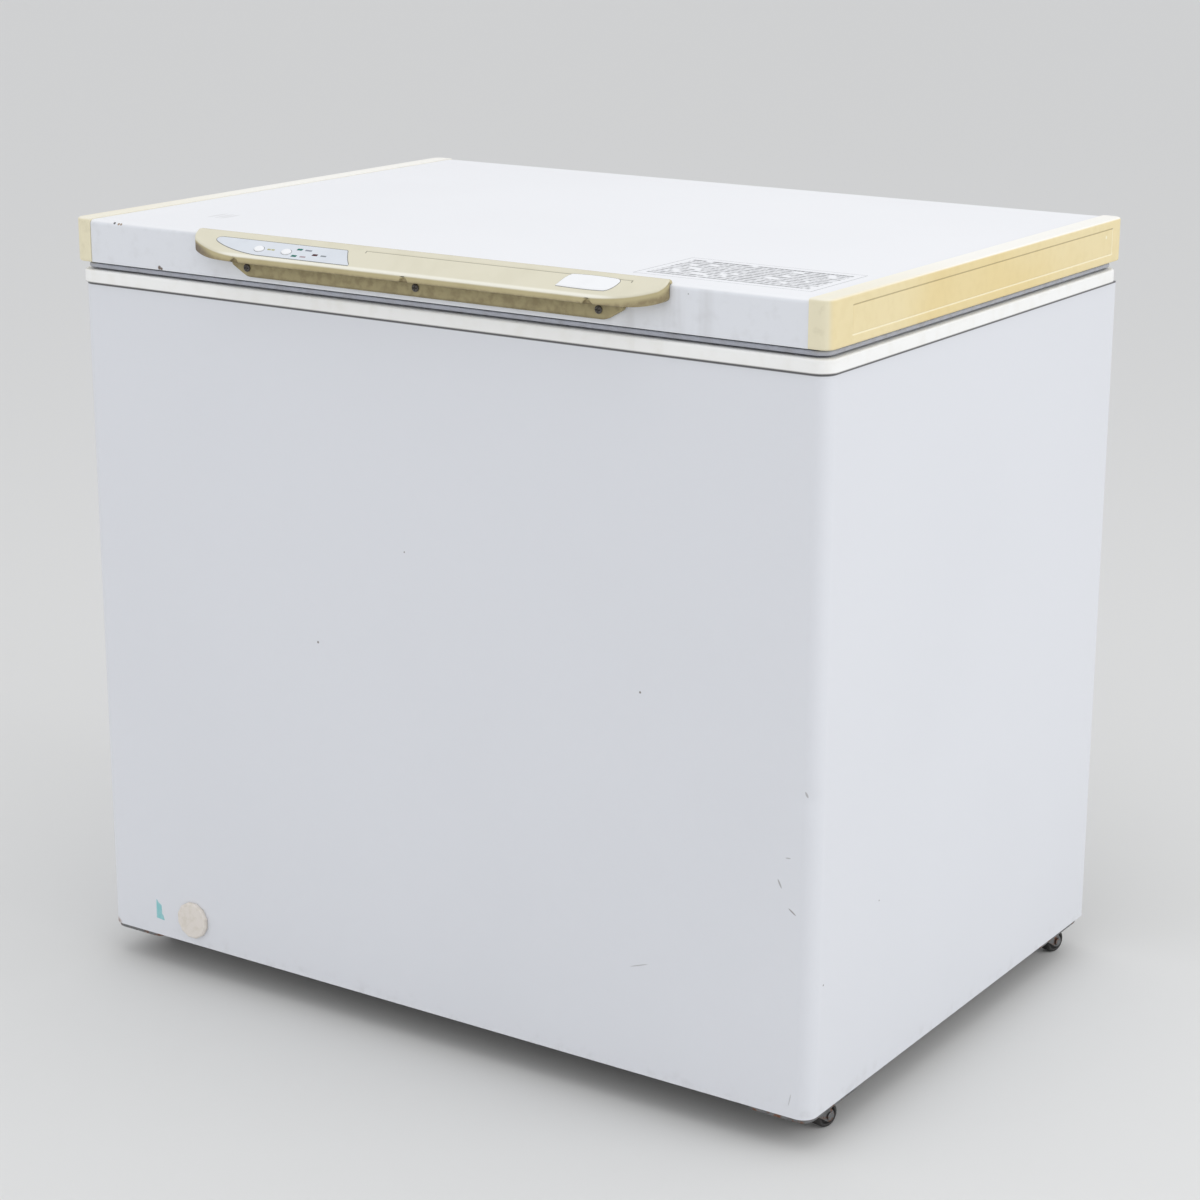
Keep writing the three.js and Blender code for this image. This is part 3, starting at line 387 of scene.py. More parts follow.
class Finish:
    """A material of one Principled shader, and the record's slot that it belongs to."""

    def __init__(self, name, slot, color, roughness, **constants):
        self.slot = slot
        self.material = bpy.data.materials.new(name)
        self.material.use_nodes = True
        self.tree = self.material.node_tree
        self.shader = self.tree.nodes["Principled BSDF"]
        self.color = color
        self.set("Base Color", color)
        self.set("Roughness", roughness)
        for key, value in constants.items():
            self.set(key.replace("_", " ").title().replace("Ior", "IOR"), value)
        self.at = self.node("ShaderNodeTexCoord", output="Object")
        split = {"Vector": self.at}
        self.x, self.y, self.z = (self.node("ShaderNodeSeparateXYZ", {}, split, i) for i in range(3))

    def node(self, kind, settings=None, inputs=None, output=0):
        made = self.tree.nodes.new(kind)
        for key, value in (settings or {}).items():
            setattr(made, key, value)
        for key, value in (inputs or {}).items():
            if isinstance(value, Value):
                self.tree.links.new(value.socket, made.inputs[key])
            else:
                made.inputs[key].default_value = value
        return Value(self, made.outputs[output])

    def set(self, key, value):
        if isinstance(value, Value):
            self.tree.links.new(value.socket, self.shader.inputs[key])
        else:
            self.shader.inputs[key].default_value = value

    def smooth(self, value, low, high):
        """0 below low, 1 above high, and an S curve between."""
        inputs = {"Value": value, "From Min": low, "From Max": high}
        return self.node("ShaderNodeMapRange", {"interpolation_type": "SMOOTHSTEP"}, inputs)

    def noise(self, scale, detail=2.0, stretch=(1, 1, 1)):
        place = self.node("ShaderNodeVectorMath", {"operation": "MULTIPLY"}, {0: self.at, 1: stretch})
        return self.node("ShaderNodeTexNoise", {}, {"Vector": place, "Scale": scale, "Detail": detail})

    def distance(self, place):
        """Metres from a place given in millimetres."""
        inputs = {0: self.at, 1: tuple(v * MM for v in place)}
        return self.node("ShaderNodeVectorMath", {"operation": "DISTANCE"}, inputs, "Value")

    def stroke(self, place, run, length, width):
        """A thin smudge at a place, along a direction: 1 inside its ellipse and 0 outside."""
        run = unit(run)
        across = unit(np.cross(run, (0, 1, 0)))
        centre = tuple(v * MM for v in place)
        offset = self.node("ShaderNodeVectorMath", {"operation": "SUBTRACT"}, {0: self.at, 1: centre})
        parts = []
        for way, size in ((run, length), (across, width), ((0, 1, 0), 3 * width + 4)):
            inputs = {0: offset, 1: tuple(float(v) / (size * MM) for v in way)}
            part = self.node("ShaderNodeVectorMath", {"operation": "DOT_PRODUCT"}, inputs, "Value")
            parts.append(part * part)
        return 1 - self.smooth(parts[0] + parts[1] + parts[2], 0.4, 1.0)

    def past(self, axis, start, first, last):
        """Grows from 0 to 1 while an axis runs from first to last millimetres past a level."""
        return self.smooth(axis, (start + first) * MM, (start + last) * MM)

    def spot(self, place, inner, outer):
        """1 nearer a place than inner millimetres and 0 past outer."""
        return 1 - self.smooth(self.distance(place), inner * MM, outer * MM)

    def within(self, value, low, high, edge):
        """1 between two levels, given in metres, with soft edges."""
        return self.smooth(value, low - edge, low) * (1 - self.smooth(value, high, high + edge))

    def tint(self, mask, color):
        """Blends the finish's colour towards another where the mask is 1."""
        inputs = {0: mask, 6: self.color, 7: color}
        self.color = self.node("ShaderNodeMix", {"data_type": "RGBA"}, inputs, 2)
        self.set("Base Color", self.color)

    def rough(self, value):
        self.set("Roughness", value)

    def bump(self, height, depth):
        """Raises the surface by height times depth millimetres."""
        inputs = {"Height": height, "Distance": depth * MM, "Strength": 1.0}
        self.set("Normal", self.node("ShaderNodeBump", {}, inputs))


RUST = tone(124, 78, 46)
GRIME = tone(120, 112, 98)
CHIP = tone(92, 78, 66)

# Marks of use on the wrap: chips as place and radius; scratches as place, direction, half length, half
# width and how dark they are
WRAP_CHIPS = (
    ((-149, WRAP_LOW[1], 441), 1.9),
    ((270, WRAP_LOW[1], 459), 1.7),
    ((-28, WRAP_LOW[1], 561), 1.2),
    ((WRAP_HIGH[0], -304, 181), 1.4),
    ((WRAP_HIGH[0], -189, 234), 1.2),
)
WRAP_SCRATCHES = (
    ((271, WRAP_LOW[1], 161), (1, 0, 0.35), 13, 0.7, 0.4),
    ((437, WRAP_LOW[1], 289), (0.5, 0, -1), 6, 1.1, 0.5),
    ((452, WRAP_LOW[1], 262), (1, 0, -0.7), 6, 1.0, 0.6),
    ((446, WRAP_LOW[1], 318), (1, 0, 0.1), 3.5, 0.8, 0.4),
    ((464.6, -324.5, 388), (0.4, 0, -1), 4, 1.3, 0.4),
    ((454, WRAP_LOW[1], 57.5), (0.2, 0, 1), 8, 0.8, 0.3),
)

# Marks of use on the lid's front, as place, radius and colour
LID_CHIPS = (
    ((-421.5, SKIN_LOW[1] + 1.5, 877.8), 2.3, tone(24, 22, 22)),
    ((-415.0, SKIN_LOW[1] + 1.2, 877.0), 2.0, tone(150, 120, 84)),
    ((-411.5, SKIN_LOW[1] + 1.2, 876.8), 2.0, tone(140, 112, 80)),
    ((-356.5, SKIN_LOW[1], 834.3), 3.2, tone(86, 62, 38)),
    ((-353.5, SKIN_LOW[1], 833.3), 2.2, tone(86, 62, 38)),
    ((324.0, SKIN_LOW[1], 871.0), 1.1, tone(150, 150, 150)),
)


def sprayed_enamel(name, slot, color):
    """Sprayed steel: fine orange peel, a broad change of tone and a little uneven gloss."""
    made = Finish(name, slot, color, 0.36, coat_weight=0.15, coat_roughness=0.12)
    peel = made.noise(420, 1.5)
    broad = made.noise(2.2, 3)
    made.tint(made.smooth(broad, 0.35, 0.75) * 0.22, tuple(c * 0.9 for c in color[:3]) + (1.0,))
    made.rough(0.33 + 0.12 * made.noise(14, 4))
    made.bump(peel, 0.035)
    return made


def wrap_enamel():
    """The wrap: grime at the foot, a painted shadow under the top frame's overhang, chips and scratches."""
    made = sprayed_enamel("wrap_enamel", "enamel", tone(224, 226, 231))
    blotch = made.noise(55, 4)
    foot = (1 - made.past(made.z, WRAP_LOW[2], 2, 22)) * made.smooth(blotch, 0.5, 0.72)
    made.tint(foot * 0.10, GRIME)
    # Painted shadow: a near-black band over the wrap's top 2.4 mm, under the top frame's overhang.
    made.tint(made.past(made.z, WRAP_HIGH[2], -2.4, -1.5) * 0.88, tone(52, 50, 50))
    for place, size in WRAP_CHIPS:
        made.tint(made.spot(place, size * 0.4, size) * 0.8, CHIP)
    corner = made.distance((-468, -322, 38))
    made.tint((1 - made.smooth(corner + 0.008 * blotch, 0.008, 0.013)) * 0.7, RUST)
    for place, run, length, width, share in WRAP_SCRATCHES:
        made.tint(made.stroke(place, run, length, width) * share, CHIP)
    return made


def lid_enamel():
    """The lid: painted shade that makes its front greyer, streaks beside the bar's end, chips and a smudge."""
    made = sprayed_enamel("lid_enamel", "lid_enamel", tone(240, 241, 243))
    blotch = made.noise(70, 4)
    front = 1 - made.past(made.y, SKIN_LOW[1], 0.25, 1.75)
    # Painted shade: the front face tinted greyer and bluer than the top.
    made.tint(front * 0.75, tone(222, 225, 231))
    made.tint(front * made.smooth(blotch, 0.5, 0.75) * 0.07, GRIME)
    under_bar = made.within(made.x, 0.26, 0.34, 0.02) * front
    streaks = made.smooth(made.noise(40, 3, (1, 1, 0.08)), 0.45, 0.7)
    made.tint(under_bar * streaks * 0.16, GRIME)
    for place, size, color in LID_CHIPS:
        edge = made.distance(place) + 0.0022 * (blotch - 0.5)
        made.tint((1 - made.smooth(edge, size * MM * 0.5, size * MM)) * 0.9, color)
    for x in (-362, -352, -344):
        made.tint(made.stroke((x, -226, SKIN_HIGH[2]), (1, 0, 0.2), 4, 5) * 0.16, CHIP)
    print_notice(made)
    return made


def print_notice(made):
    """A printed panel without letters: a thin rule round rows of short grey dashes, with heavier bars in the
    top row."""
    top = made.past(made.z, SKIN_HIGH[2], -0.5, -0.1)
    (x0, y0), (x1, y1) = NOTICE_LOW * MM, NOTICE_HIGH * MM
    rule, border, crisp, rows = 0.0008, 0.009, 0.0001, 11

    def panel(step):
        """1 inside the panel's outline moved in by a step."""
        across = made.within(made.x, x0 + step, x1 - step, crisp)
        return across * made.within(made.y, y0 + step, y1 - step, crisp)

    made.tint((panel(0) - panel(rule)) * top * 0.85, tone(78, 80, 88))
    pitch = (y1 - y0 - 2 * border) / rows
    along = (made.y - (y0 + border)) / pitch
    row = along.math("FLOOR")
    text = panel(border) * made.within(along.math("FRACT"), 0.22, 0.70, 0.06) * top

    def dashes(step, share, spread):
        """Runs of print along a row, different in each row."""
        place = made.node("ShaderNodeCombineXYZ", {}, {0: made.x * step, 1: row * 7.3, 2: 0.0})
        print_noise = made.node("ShaderNodeTexNoise", {}, {"Vector": place, "Scale": 1.0, "Detail": 1.0})
        return made.smooth(print_noise, share, share + spread)

    header = made.smooth(row, rows - 1.6, rows - 1.4)
    words = dashes(55, 0.36, 0.05) * (0.45 + 0.55 * dashes(420, 0.44, 0.08))
    made.tint(text * words * (0.78 + 0.2 * header), tone(46, 48, 56))


def frame_plastic():
    """White plastic, with painted shade along its lower edge where it meets the wrap."""
    made = Finish("frame_plastic", "white_plastic", tone(246, 246, 244), 0.42)
    blotch = made.noise(60, 4)
    made.tint(made.smooth(blotch, 0.45, 0.75) * 0.16, tone(222, 217, 202))
    # Painted shade: the frame's lowest 1.6 mm darkened, over the seam with the wrap.
    made.tint((1 - made.past(made.z, TRIM_LOW[2], 0.2, 1.6)) * 0.7, tone(92, 88, 80))
    made.rough(0.38 + 0.16 * blotch)
    made.bump(made.noise(900, 1), 0.02)
    return made


def cap_plastic():
    """End caps, yellowed by daylight: deepest on the outer face and cream on the front, with painted light
    making the top paler.
    """
    made = Finish("cap_plastic", "aged_plastic", tone(234, 226, 196), 0.48)
    broad = made.noise(3.2, 2)
    fine = made.noise(90, 4)
    side = made.past(abs(made.x), CAP_HIGH[0], -5, -0.5)
    made.tint(side, tone(235, 219, 172))
    made.tint(side * made.smooth(broad, 0.36, 0.66) * 0.55, tone(228, 202, 132))
    made.tint(side * made.smooth(fine, 0.42, 0.7) * 0.10, tone(206, 184, 122))
    (y0, z0), (y1, z1) = CAP_PANEL_LOW * MM, CAP_PANEL_HIGH * MM
    line, edge = 0.0005, 0.0004
    along, up = made.within(made.y, y0, y1, 0.001), made.within(made.z, z0, z1, 0.001)
    upper = made.within(made.z, z1 - line, z1 + line, edge) * along
    lower = made.within(made.z, z0 - line, z0 + line, edge) * along
    end = made.within(made.y, y1 - line, y1 + line, edge) * up
    # Painted shadow along the sunk outline's upper line.
    made.tint(side * upper * 0.55, tone(140, 122, 78))
    # Painted highlight along its lower line and its back end.
    made.tint(side * lower.most(end) * 0.6, tone(252, 246, 220))
    made.tint(side * made.spot((CAP_HIGH[0], 296, 862), 1.4, 2.4) * 0.8, tone(246, 240, 214))
    # Painted light: the top paler, most towards the back.
    top = made.past(made.z, CAP_HIGH[2], -2, -0.3)
    made.tint(top * (0.45 + 0.55 * made.smooth(made.y, -0.32, 0.02)), tone(248, 246, 238))
    front = 1 - made.past(made.y, CAP_LOW[1], 0.05, 1.75)
    made.tint(front * made.smooth(fine, 0.5, 0.7) * 0.16, tone(176, 166, 134))
    made.rough(0.42 + 0.18 * made.noise(40, 3))
    made.bump(made.noise(1100, 1), 0.025)
    return made


def grip_plastic():
    """The bar: clean beige on the control face with a painted highlight along its front edge, olive brown on
    the lip from handling and painted shade, darker down the lip with grime and painted shade, and stained at
    one end.
    """
    made = Finish("grip_plastic", "grip_plastic", tone(224, 219, 197), 0.44)
    blotch = made.noise(35, 4)
    fine = made.noise(160, 4)
    below = GRIP_HIGH[2] * MM + (made.y - SLOPE_Y * MM) * math.tan(SLOPE) - made.z
    down = (SLOPE_Y * MM - made.y) / math.cos(SLOPE)
    made.tint(made.smooth(blotch, 0.4, 0.7) * 0.25, tone(208, 203, 178))
    on_top = 1 - made.smooth(below, 0.0006, 0.0016)
    # Painted highlight: a near-white band along the control face's front edge.
    made.tint(on_top * made.smooth(down, 0.0290, 0.0325) * 0.7, tone(250, 248, 236))
    start, end = (v * MM for v in GROOVE_ENDS)
    line = made.within(made.x, start, end, 0.0006) * made.within(down, 0.0057, 0.0064, 0.0003)
    for x in (start, end):
        tick = made.within(made.x, x - 0.0005, x + 0.0005, 0.0003)
        line = line.most(tick * made.within(down, 0.006, 0.009, 0.0006))
    made.tint(line * on_top * 0.7, tone(104, 100, 82))
    # Olive brown on the lip: handling grime, and painted shade on its forward and downward facing side.
    lip = made.smooth(below, 0.0010, 0.0026)
    made.tint(lip, tone(190, 178, 136))
    made.tint(lip * made.smooth(blotch, 0.4, 0.65) * 0.3, tone(172, 158, 114))
    # Darker down the lip towards its underside: grime, and a painted shadow line along the lip's bottom.
    lip_grime_and_shade = made.smooth(below, 0.0040, 0.0092) * (0.30 + 0.35 * made.smooth(fine, 0.3, 0.6))
    made.tint(lip_grime_and_shade, tone(112, 94, 68))
    tip = 1 - made.past(made.x, GRIP_LOW[0], 9, 42)
    made.tint(tip * made.smooth(below, 0.002, 0.005) * 0.7, tone(92, 78, 74))
    made.rough(0.40 + 0.2 * fine)
    made.bump(made.noise(1300, 1), 0.03)
    return made


def skirt_plastic():
    """The bar's plate: olive brown from grime and painted shade under the lip's overhang, with a painted shadow
    darkest just under the lip, and darker along the lower edge.
    """
    # Base colour: grime, and painted shade from the overhanging lip.
    made = Finish("skirt_plastic", "grip_plastic", tone(168, 156, 116), 0.55)
    fine = made.noise(120, 5)
    made.tint(made.smooth(fine, 0.38, 0.7) * 0.5, tone(122, 108, 76))
    # Painted shadow just under the lip.
    made.tint(made.past(made.z, GRIP_BOTTOM, -5.5, -0.7) * 0.5, tone(72, 60, 44))
    made.tint((1 - made.past(made.z, GRIP_BASE_LOW[2], 0.3, 3.3)) * 0.45, tone(84, 74, 54))
    made.rough(0.45 + 0.25 * fine)
    made.bump(fine, 0.05)
    return made


def knob_plastic():
    """The drain cap: pale and finely speckled."""
    made = Finish("knob_plastic", "grip_plastic", tone(228, 221, 213), 0.5)
    fine = made.noise(150, 4)
    made.tint(made.smooth(fine, 0.42, 0.7) * 0.3, tone(200, 192, 172))
    made.rough(0.42 + 0.2 * fine)
    made.bump(made.noise(700, 2), 0.04)
    return made


def overlay_film():
    """Blue-grey film with short printed bars beside the controls."""
    made = Finish("overlay_film", "overlay_film", tone(220, 225, 231), 0.34)
    made.tint(made.smooth(made.noise(50, 3), 0.4, 0.75) * 0.15, tone(184, 190, 200))
    for x0, x1, v, color in (
        (-187, -177.5, 20.0, tone(172, 168, 96)),
        (-138.5, -130, 15.4, tone(118, 122, 134)),
        (-140, -132.5, 25.2, tone(164, 140, 146)),
        (-114.5, -107.5, 21.0, tone(120, 128, 132)),
    ):
        y = (SLOPE_Y - v * math.cos(SLOPE)) * MM
        across = made.within(made.x, x0 * MM, x1 * MM, 0.0003)
        down = made.within(made.y, y - 0.0007, y + 0.0007, 0.0003)
        words = made.smooth(made.noise(420, 2, (1, 0.2, 0.2)), 0.30, 0.44)
        made.tint(across * down * words * 0.9, color)
    made.rough(0.3 + 0.15 * made.noise(60, 3))
    made.bump(made.noise(1500, 1), 0.012)
    return made


def plain(name, slot, color, roughness, grain=300, depth=0.03, dirt=0.18, **constants):
    """Moulded or painted: a fine grain, uneven gloss and a faint change of tone."""
    made = Finish(name, slot, color, roughness, **constants)
    made.tint(made.smooth(made.noise(45, 4), 0.4, 0.72) * dirt, tuple(c * 0.6 for c in color[:3]) + (1.0,))
    made.rough(roughness - 0.05 + 0.14 * made.noise(grain / 4, 3))
    made.bump(made.noise(grain, 2), depth)
    return made


def zinc():
    """Zinc-plated steel: a drawn grain, cloudy tone and spots of rust low down."""
    made = Finish("zinc_plate", "zinc", tone(128, 129, 130), 0.34, metallic=0.9)
    cloud = made.noise(90, 4)
    made.tint(made.smooth(cloud, 0.4, 0.7) * 0.45, tone(82, 82, 84))
    low = 1 - made.past(made.z, PLATE_BOTTOM, 0, 12)
    made.tint(low * made.smooth(made.noise(130, 5), 0.5, 0.66) * 0.8, RUST)
    made.rough(0.28 + 0.26 * cloud)
    made.bump(made.noise(260, 2, (1, 1, 0.1)), 0.02)
    return made


def galvanised():
    """Galvanised back sheet: large pale and dark crystals."""
    made = Finish("galvanised", "zinc", tone(176, 179, 182), 0.42, metallic=0.7)
    cells = made.node("ShaderNodeTexVoronoi", {}, {"Vector": made.at, "Scale": 60.0}, "Color")
    crystal = made.node("ShaderNodeSeparateColor", {}, {0: cells})
    made.tint(crystal * 0.4, tone(140, 144, 150))
    made.rough(0.34 + 0.2 * crystal)
    made.bump(made.noise(20, 3), 0.1)
    return made


def copper():
    """Copper pipe, browned in clouds."""
    made = Finish("copper_pipe", "copper", tone(176, 104, 68), 0.3, metallic=1.0)
    cloud = made.noise(70, 4)
    made.tint(made.smooth(cloud, 0.42, 0.68) * 0.6, tone(112, 66, 46))
    made.rough(0.24 + 0.3 * cloud)
    made.bump(made.noise(400, 2), 0.02)
    return made


def foam():
    """Poured foam, coarse and yellow."""
    made = Finish("poured_foam", "foam", tone(226, 212, 166), 0.92)
    made.tint(made.smooth(made.noise(30, 4), 0.4, 0.7) * 0.3, tone(202, 182, 128))
    made.bump(made.noise(500, 3), 0.4)
    return made


def gasket_rubber():
    """Grey rubber, with painted shade in the recesses over and under the nose. The drain's plug, lower down,
    stays grey.
    """
    made = Finish("gasket_rubber", "seal_rubber", tone(178, 181, 190), 0.6)
    blotch = made.noise(80, 4)
    made.tint(made.smooth(blotch, 0.42, 0.7) * 0.35, tone(150, 148, 148))
    low, high = SEAL_LOW[2], SEAL_HIGH[2]
    nose = made.within(made.z, (low + 1.9) * MM, (high - 2.3) * MM, 0.0006)
    recess = (1 - nose) * made.past(made.z, low, 0.1, 0.3)
    # Painted shade: near black in the recesses over and under the nose.
    made.tint(recess * made.smooth(made.z, 0.5, 0.6) * 0.92, tone(26, 26, 28))
    made.rough(0.56 + 0.25 * blotch)
    made.bump(made.noise(600, 2), 0.04)
    return made


WRAP_ENAMEL = wrap_enamel()
LID_ENAMEL = lid_enamel()
FRAME_PLASTIC = frame_plastic()
CAP_PLASTIC = cap_plastic()
GRIP_PLASTIC = grip_plastic()
SKIRT_PLASTIC = skirt_plastic()
KNOB_PLASTIC = knob_plastic()
OVERLAY_FILM = overlay_film()
BUTTON_PLASTIC = plain("button_plastic", "button_plastic", tone(244, 245, 246), 0.3, 900, 0.01, 0.06)
GREEN_LENS = plain("green_lens", "green_lens", tone(22, 112, 98), 0.22, 900, 0.01, 0.2)
RED_LENS = plain("red_lens", "red_lens", tone(74, 14, 22), 0.22, 900, 0.01, 0.2)
GASKET_RUBBER = gasket_rubber()
FOAM = foam()
TUB_ENAMEL = plain("tub_enamel", "tub", tone(226, 230, 233), 0.32, 420, 0.03, 0.06)
WIRE_COAT = plain("wire_coat", "basket_wire", tone(232, 234, 234), 0.34, 500, 0.03, 0.08)
ZINC = zinc()
DULL_STEEL = plain("dull_steel", "zinc", tone(92, 88, 84), 0.42, 200, 0.04, 0.5, metallic=0.6)
# Painted shadow: mid grey for the thin rims round the control film and the badge, where shade falls at their
# edges.
EDGE_SHADOW_LINE = plain("edge_shadow_line", "overlay_film", tone(120, 120, 116), 0.6, 400, 0.02, 0.3)
GALVANISED = galvanised()
BLACK_STEEL = plain("black_steel", "black_steel", tone(30, 31, 33), 0.34, 240, 0.05, 0.3)
COPPER = copper()
DARK_PLASTIC = plain("dark_plastic", "dark_plastic", tone(46, 48, 50), 0.6, 700, 0.04, 0.2)
WHEEL_RUBBER = plain("wheel_rubber", "wheel_rubber", tone(58, 57, 56), 0.7, 350, 0.06, 0.4)
BOARD = plain("board", "circuit_board", tone(34, 96, 58), 0.45, 500, 0.02, 0.2)
TAPE = Finish("tape", "overlay_film", tone(140, 200, 204), 0.5)
TAPE.tint(TAPE.smooth(TAPE.noise(180, 4), 0.42, 0.62) * 0.35, tone(176, 214, 218))
TAPE.bump(TAPE.noise(300, 3), 0.05)

SLOT_FINISH = {
    "white_plastic": FRAME_PLASTIC,
    "dark_plastic": DARK_PLASTIC,
    "zinc": ZINC,
    "foam": FOAM,
    "copper": COPPER,
    "black_steel": BLACK_STEEL,
    "circuit_board": BOARD,
    "seal_rubber": GASKET_RUBBER,
}


# Cabinet ----------------------------------------------------------------------------------------

def wrap_sheet():
    """The front and both sides in one sheet: an outer line in plan and the same line 1 mm inside, raised
    through levels, and pushed in at the dent by a bell curve."""
    x, front, back, r = WRAP_HIGH[0], WRAP_LOW[1], WRAP_HIGH[1], WRAP_CORNER
    near = np.linspace(0, 30, 11)
    side_y = np.concatenate([[back], np.linspace(back - 20, front + r + 45, 8), front + r + near[::-1]])
    half_x = x - r
    middle = np.linspace(50 - half_x, half_x - 50, 12)
    front_x = np.concatenate([near - half_x, middle, half_x - near[::-1]])
    parts = [
        (np.stack([-x + 0 * side_y, side_y], -1), (-1, 0)),
        (arc((-half_x, front + r), r, 180, 270, 13)[1:-1], None),
        (np.stack([front_x, front + 0 * front_x], -1), (0, -1)),
        (arc((half_x, front + r), r, 270, 360, 13)[1:-1], None),
        (np.stack([x + 0 * side_y, side_y[::-1]], -1), (1, 0)),
    ]
    centres = {1: (-half_x, front + r), 3: (half_x, front + r)}
    normals = [
        unit(line - centres[i]) if out is None else np.broadcast_to(out, line.shape)
        for i, (line, out) in enumerate(parts)
    ]
    line, out = np.concatenate([part[0] for part in parts]), np.concatenate(normals)
    levels = np.unique(np.concatenate([
        np.linspace(WRAP_LOW[2], WRAP_HIGH[2], 14), DENT[2] + np.linspace(-36, 36, 25),
    ]))
    rings = []
    for z in levels:
        points = np.concatenate([level(line, z), level(line - out, z)[::-1]])
        away = np.concatenate([out, out[::-1]])
        spread = ((points - DENT) / (11, 11, 12)) ** 2
        rings.append(points - level(away, 0) * (1.5 * np.exp(-spread.sum(1)))[:, None])
    made = piece("wrap_sheet", lofted(rings), WRAP_ENAMEL, "cabinet", ["cabinet_wrap"])
    hole = turned([(0, -8), (12.6, -8), (12.6, 8), (0, 8)])
    pierced(made, [set_at(hole, DRAIN, (0, -1, 0))])


def ring_frame(section, low, high, outer_radius, inner_radius):
    """A closed section of (distance in from the outside, height) carried round a rounded rectangle. The
    corner radius changes evenly from the outside to the inside."""
    section = np.asarray(section, float)
    width = section[:, 0].max()
    rings = []
    for step, z in section:
        radius = outer_radius + (inner_radius - outer_radius) * step / width
        rings.append(level(round_rect(low[:2] + step, high[:2] - step, radius), z))
    return lofted(rings, along=True)


def top_frame():
    """An upside-down channel round the tub's mouth, with a big soft outer edge."""
    width = TRIM_HIGH[0] - TUB_HIGH[0] + 3.5
    low, high = TRIM_LOW[2], TRIM_HIGH[2]
    section = softened(
        [
            (0, low + 0.3), (0, high), (width, high), (width, low), (width - 1.7, low),
            (width - 1.7, high - 2.4), (2.6, high - 2.4), (2.6, low), (0.7, low),
        ],
        [0.5, 2.6, 1.6, 0.4, 0.4, 0.4, 0.4, 0.2, 0.2], 6, closed=True,
    )
    part = ring_frame(section, TRIM_LOW, TRIM_HIGH, WRAP_CORNER + 2.5, 20)
    piece("top_frame", part, FRAME_PLASTIC, "cabinet", ["top_trim"])


def back_sheet():
    """The back: a flat sheet with a wide shallow panel pressed inwards, deeper over its sloping border."""
    low, high = box("rear_panel")
    border, depth = 7, 2
    (x0, z0), (x1, z1) = PRESSED_LOW, PRESSED_HIGH
    x = np.array([low[0], x0, x0 + border, x1 - border, x1, 240, high[0]])
    z = np.array([low[2], z0, z0 + border, z1 - border, z1, high[2]])
    gx, gz = np.meshgrid(x, z, indexing="ij")
    way_in = np.minimum.reduce([gx - x0, x1 - gx, gz - z0, z1 - gz])
    pressed = depth * np.clip(way_in / border, 0, 1)
    outer = np.stack([gx, high[1] - pressed, gz], -1)
    inner = outer - (0, 1, 0)
    parts = [lofted(outer, around=False, capped=False), lofted(inner, around=False, capped=False)]
    for row in (np.s_[0], np.s_[-1]):
        parts.append(lofted([outer[row], inner[row]], around=False, capped=False))
        parts.append(lofted([outer[:, row], inner[:, row]], around=False, capped=False))
    made = piece("back_sheet", together(parts), GALVANISED, "cabinet", ["rear_panel"])
    (x0, z0), (x1, z1) = VENT_LOW, VENT_HIGH
    pierced(made, [bar((x0, high[1] - 10, z0), (x1, high[1] + 10, z1), 0.1)])


def air_grille():
    """A frame round eleven slats that lean outwards and down, with one upright rib."""
    low, high = box("rear_grille")
    outer = round_rect(low[0::2], high[0::2], 5)
    opening = round_rect((VENT_LOW[0] + 6, VENT_LOW[1] + 2), (VENT_HIGH[0] - 6, VENT_HIGH[1] - 2), 1)
    rings = []
    for line, y in (
        (outer, low[1]), (outer, high[1] - 1), (inset(outer, 1), high[1]),
        (inset(opening, -0.6), high[1]), (opening, high[1] - 0.6), (opening, low[1]),
    ):
        rings.append(level(line, y)[:, [0, 2, 1]])
    parts = [lofted(rings, along=True)]
    for z in np.linspace(VENT_LOW[1] + 10, VENT_HIGH[1] - 10, 11):
        inner = [(low[1] + 0.1, z + 5), (low[1] + 1.2, z + 5.4)]
        section = softened([*inner, (high[1] - 0.1, z - 3), (high[1] - 1.3, z - 3.4)], 0.4, 4, closed=True)
        ends = (VENT_LOW[0] + 4, VENT_HIGH[0] - 4)
        parts.append(lofted([level(section, x)[:, [2, 0, 1]] for x in ends]))
    middle = (VENT_LOW[0] + VENT_HIGH[0]) / 2
    parts.append(bar((middle - 2, low[1], VENT_LOW[1]), (middle + 2, high[1] - 0.5, VENT_HIGH[1])))
    piece("air_grille", together(parts), DARK_PLASTIC, "cabinet", ["rear_grille"])


def pan_head(radius, height, sides=36):
    """A shallow dome with a cross sunk in it: z = height * sqrt(1 - 0.8 (r/R)^2), less a bell curve over the
    nearer arm that fades out at 0.7 R."""
    r = radius * np.array([1, 1, 0.94, 0.84, 0.72, 0.6, 0.48, 0.36, 0.24, 0.12, 0.0])[:, None]
    a = np.linspace(0, 2 * np.pi, sides, endpoint=False)
    x, y = r * np.cos(a), r * np.sin(a)
    z = height * np.sqrt(1 - 0.8 * (r / radius) ** 2) + 0 * a
    arm = np.minimum(abs(x), abs(y)) / (0.13 * radius)
    z -= 0.55 * height * np.exp(-(arm**2)) * (r < 0.7 * radius)
    z[0] = 0
    return lofted(np.stack([x, y, z], -1), capped=False)


def back_screws():
    """Screws round the back sheet and the grille."""
    face = box("rear_panel")[1][1]
    places = [(x, z) for x in (-466, 466) for z in (60, 240, 420, 600, 780)]
    places += [(x, z) for x in (-230, 0, 230) for z in (50, 796)] + [(246, 180), (246, 290), (454, 180)]
    parts = [set_at(pan_head(3.6, 1.6), (x, face, z), (0, 1, 0)) for x, z in places]
    piece("back_screws", together(parts), ZINC, "cabinet")


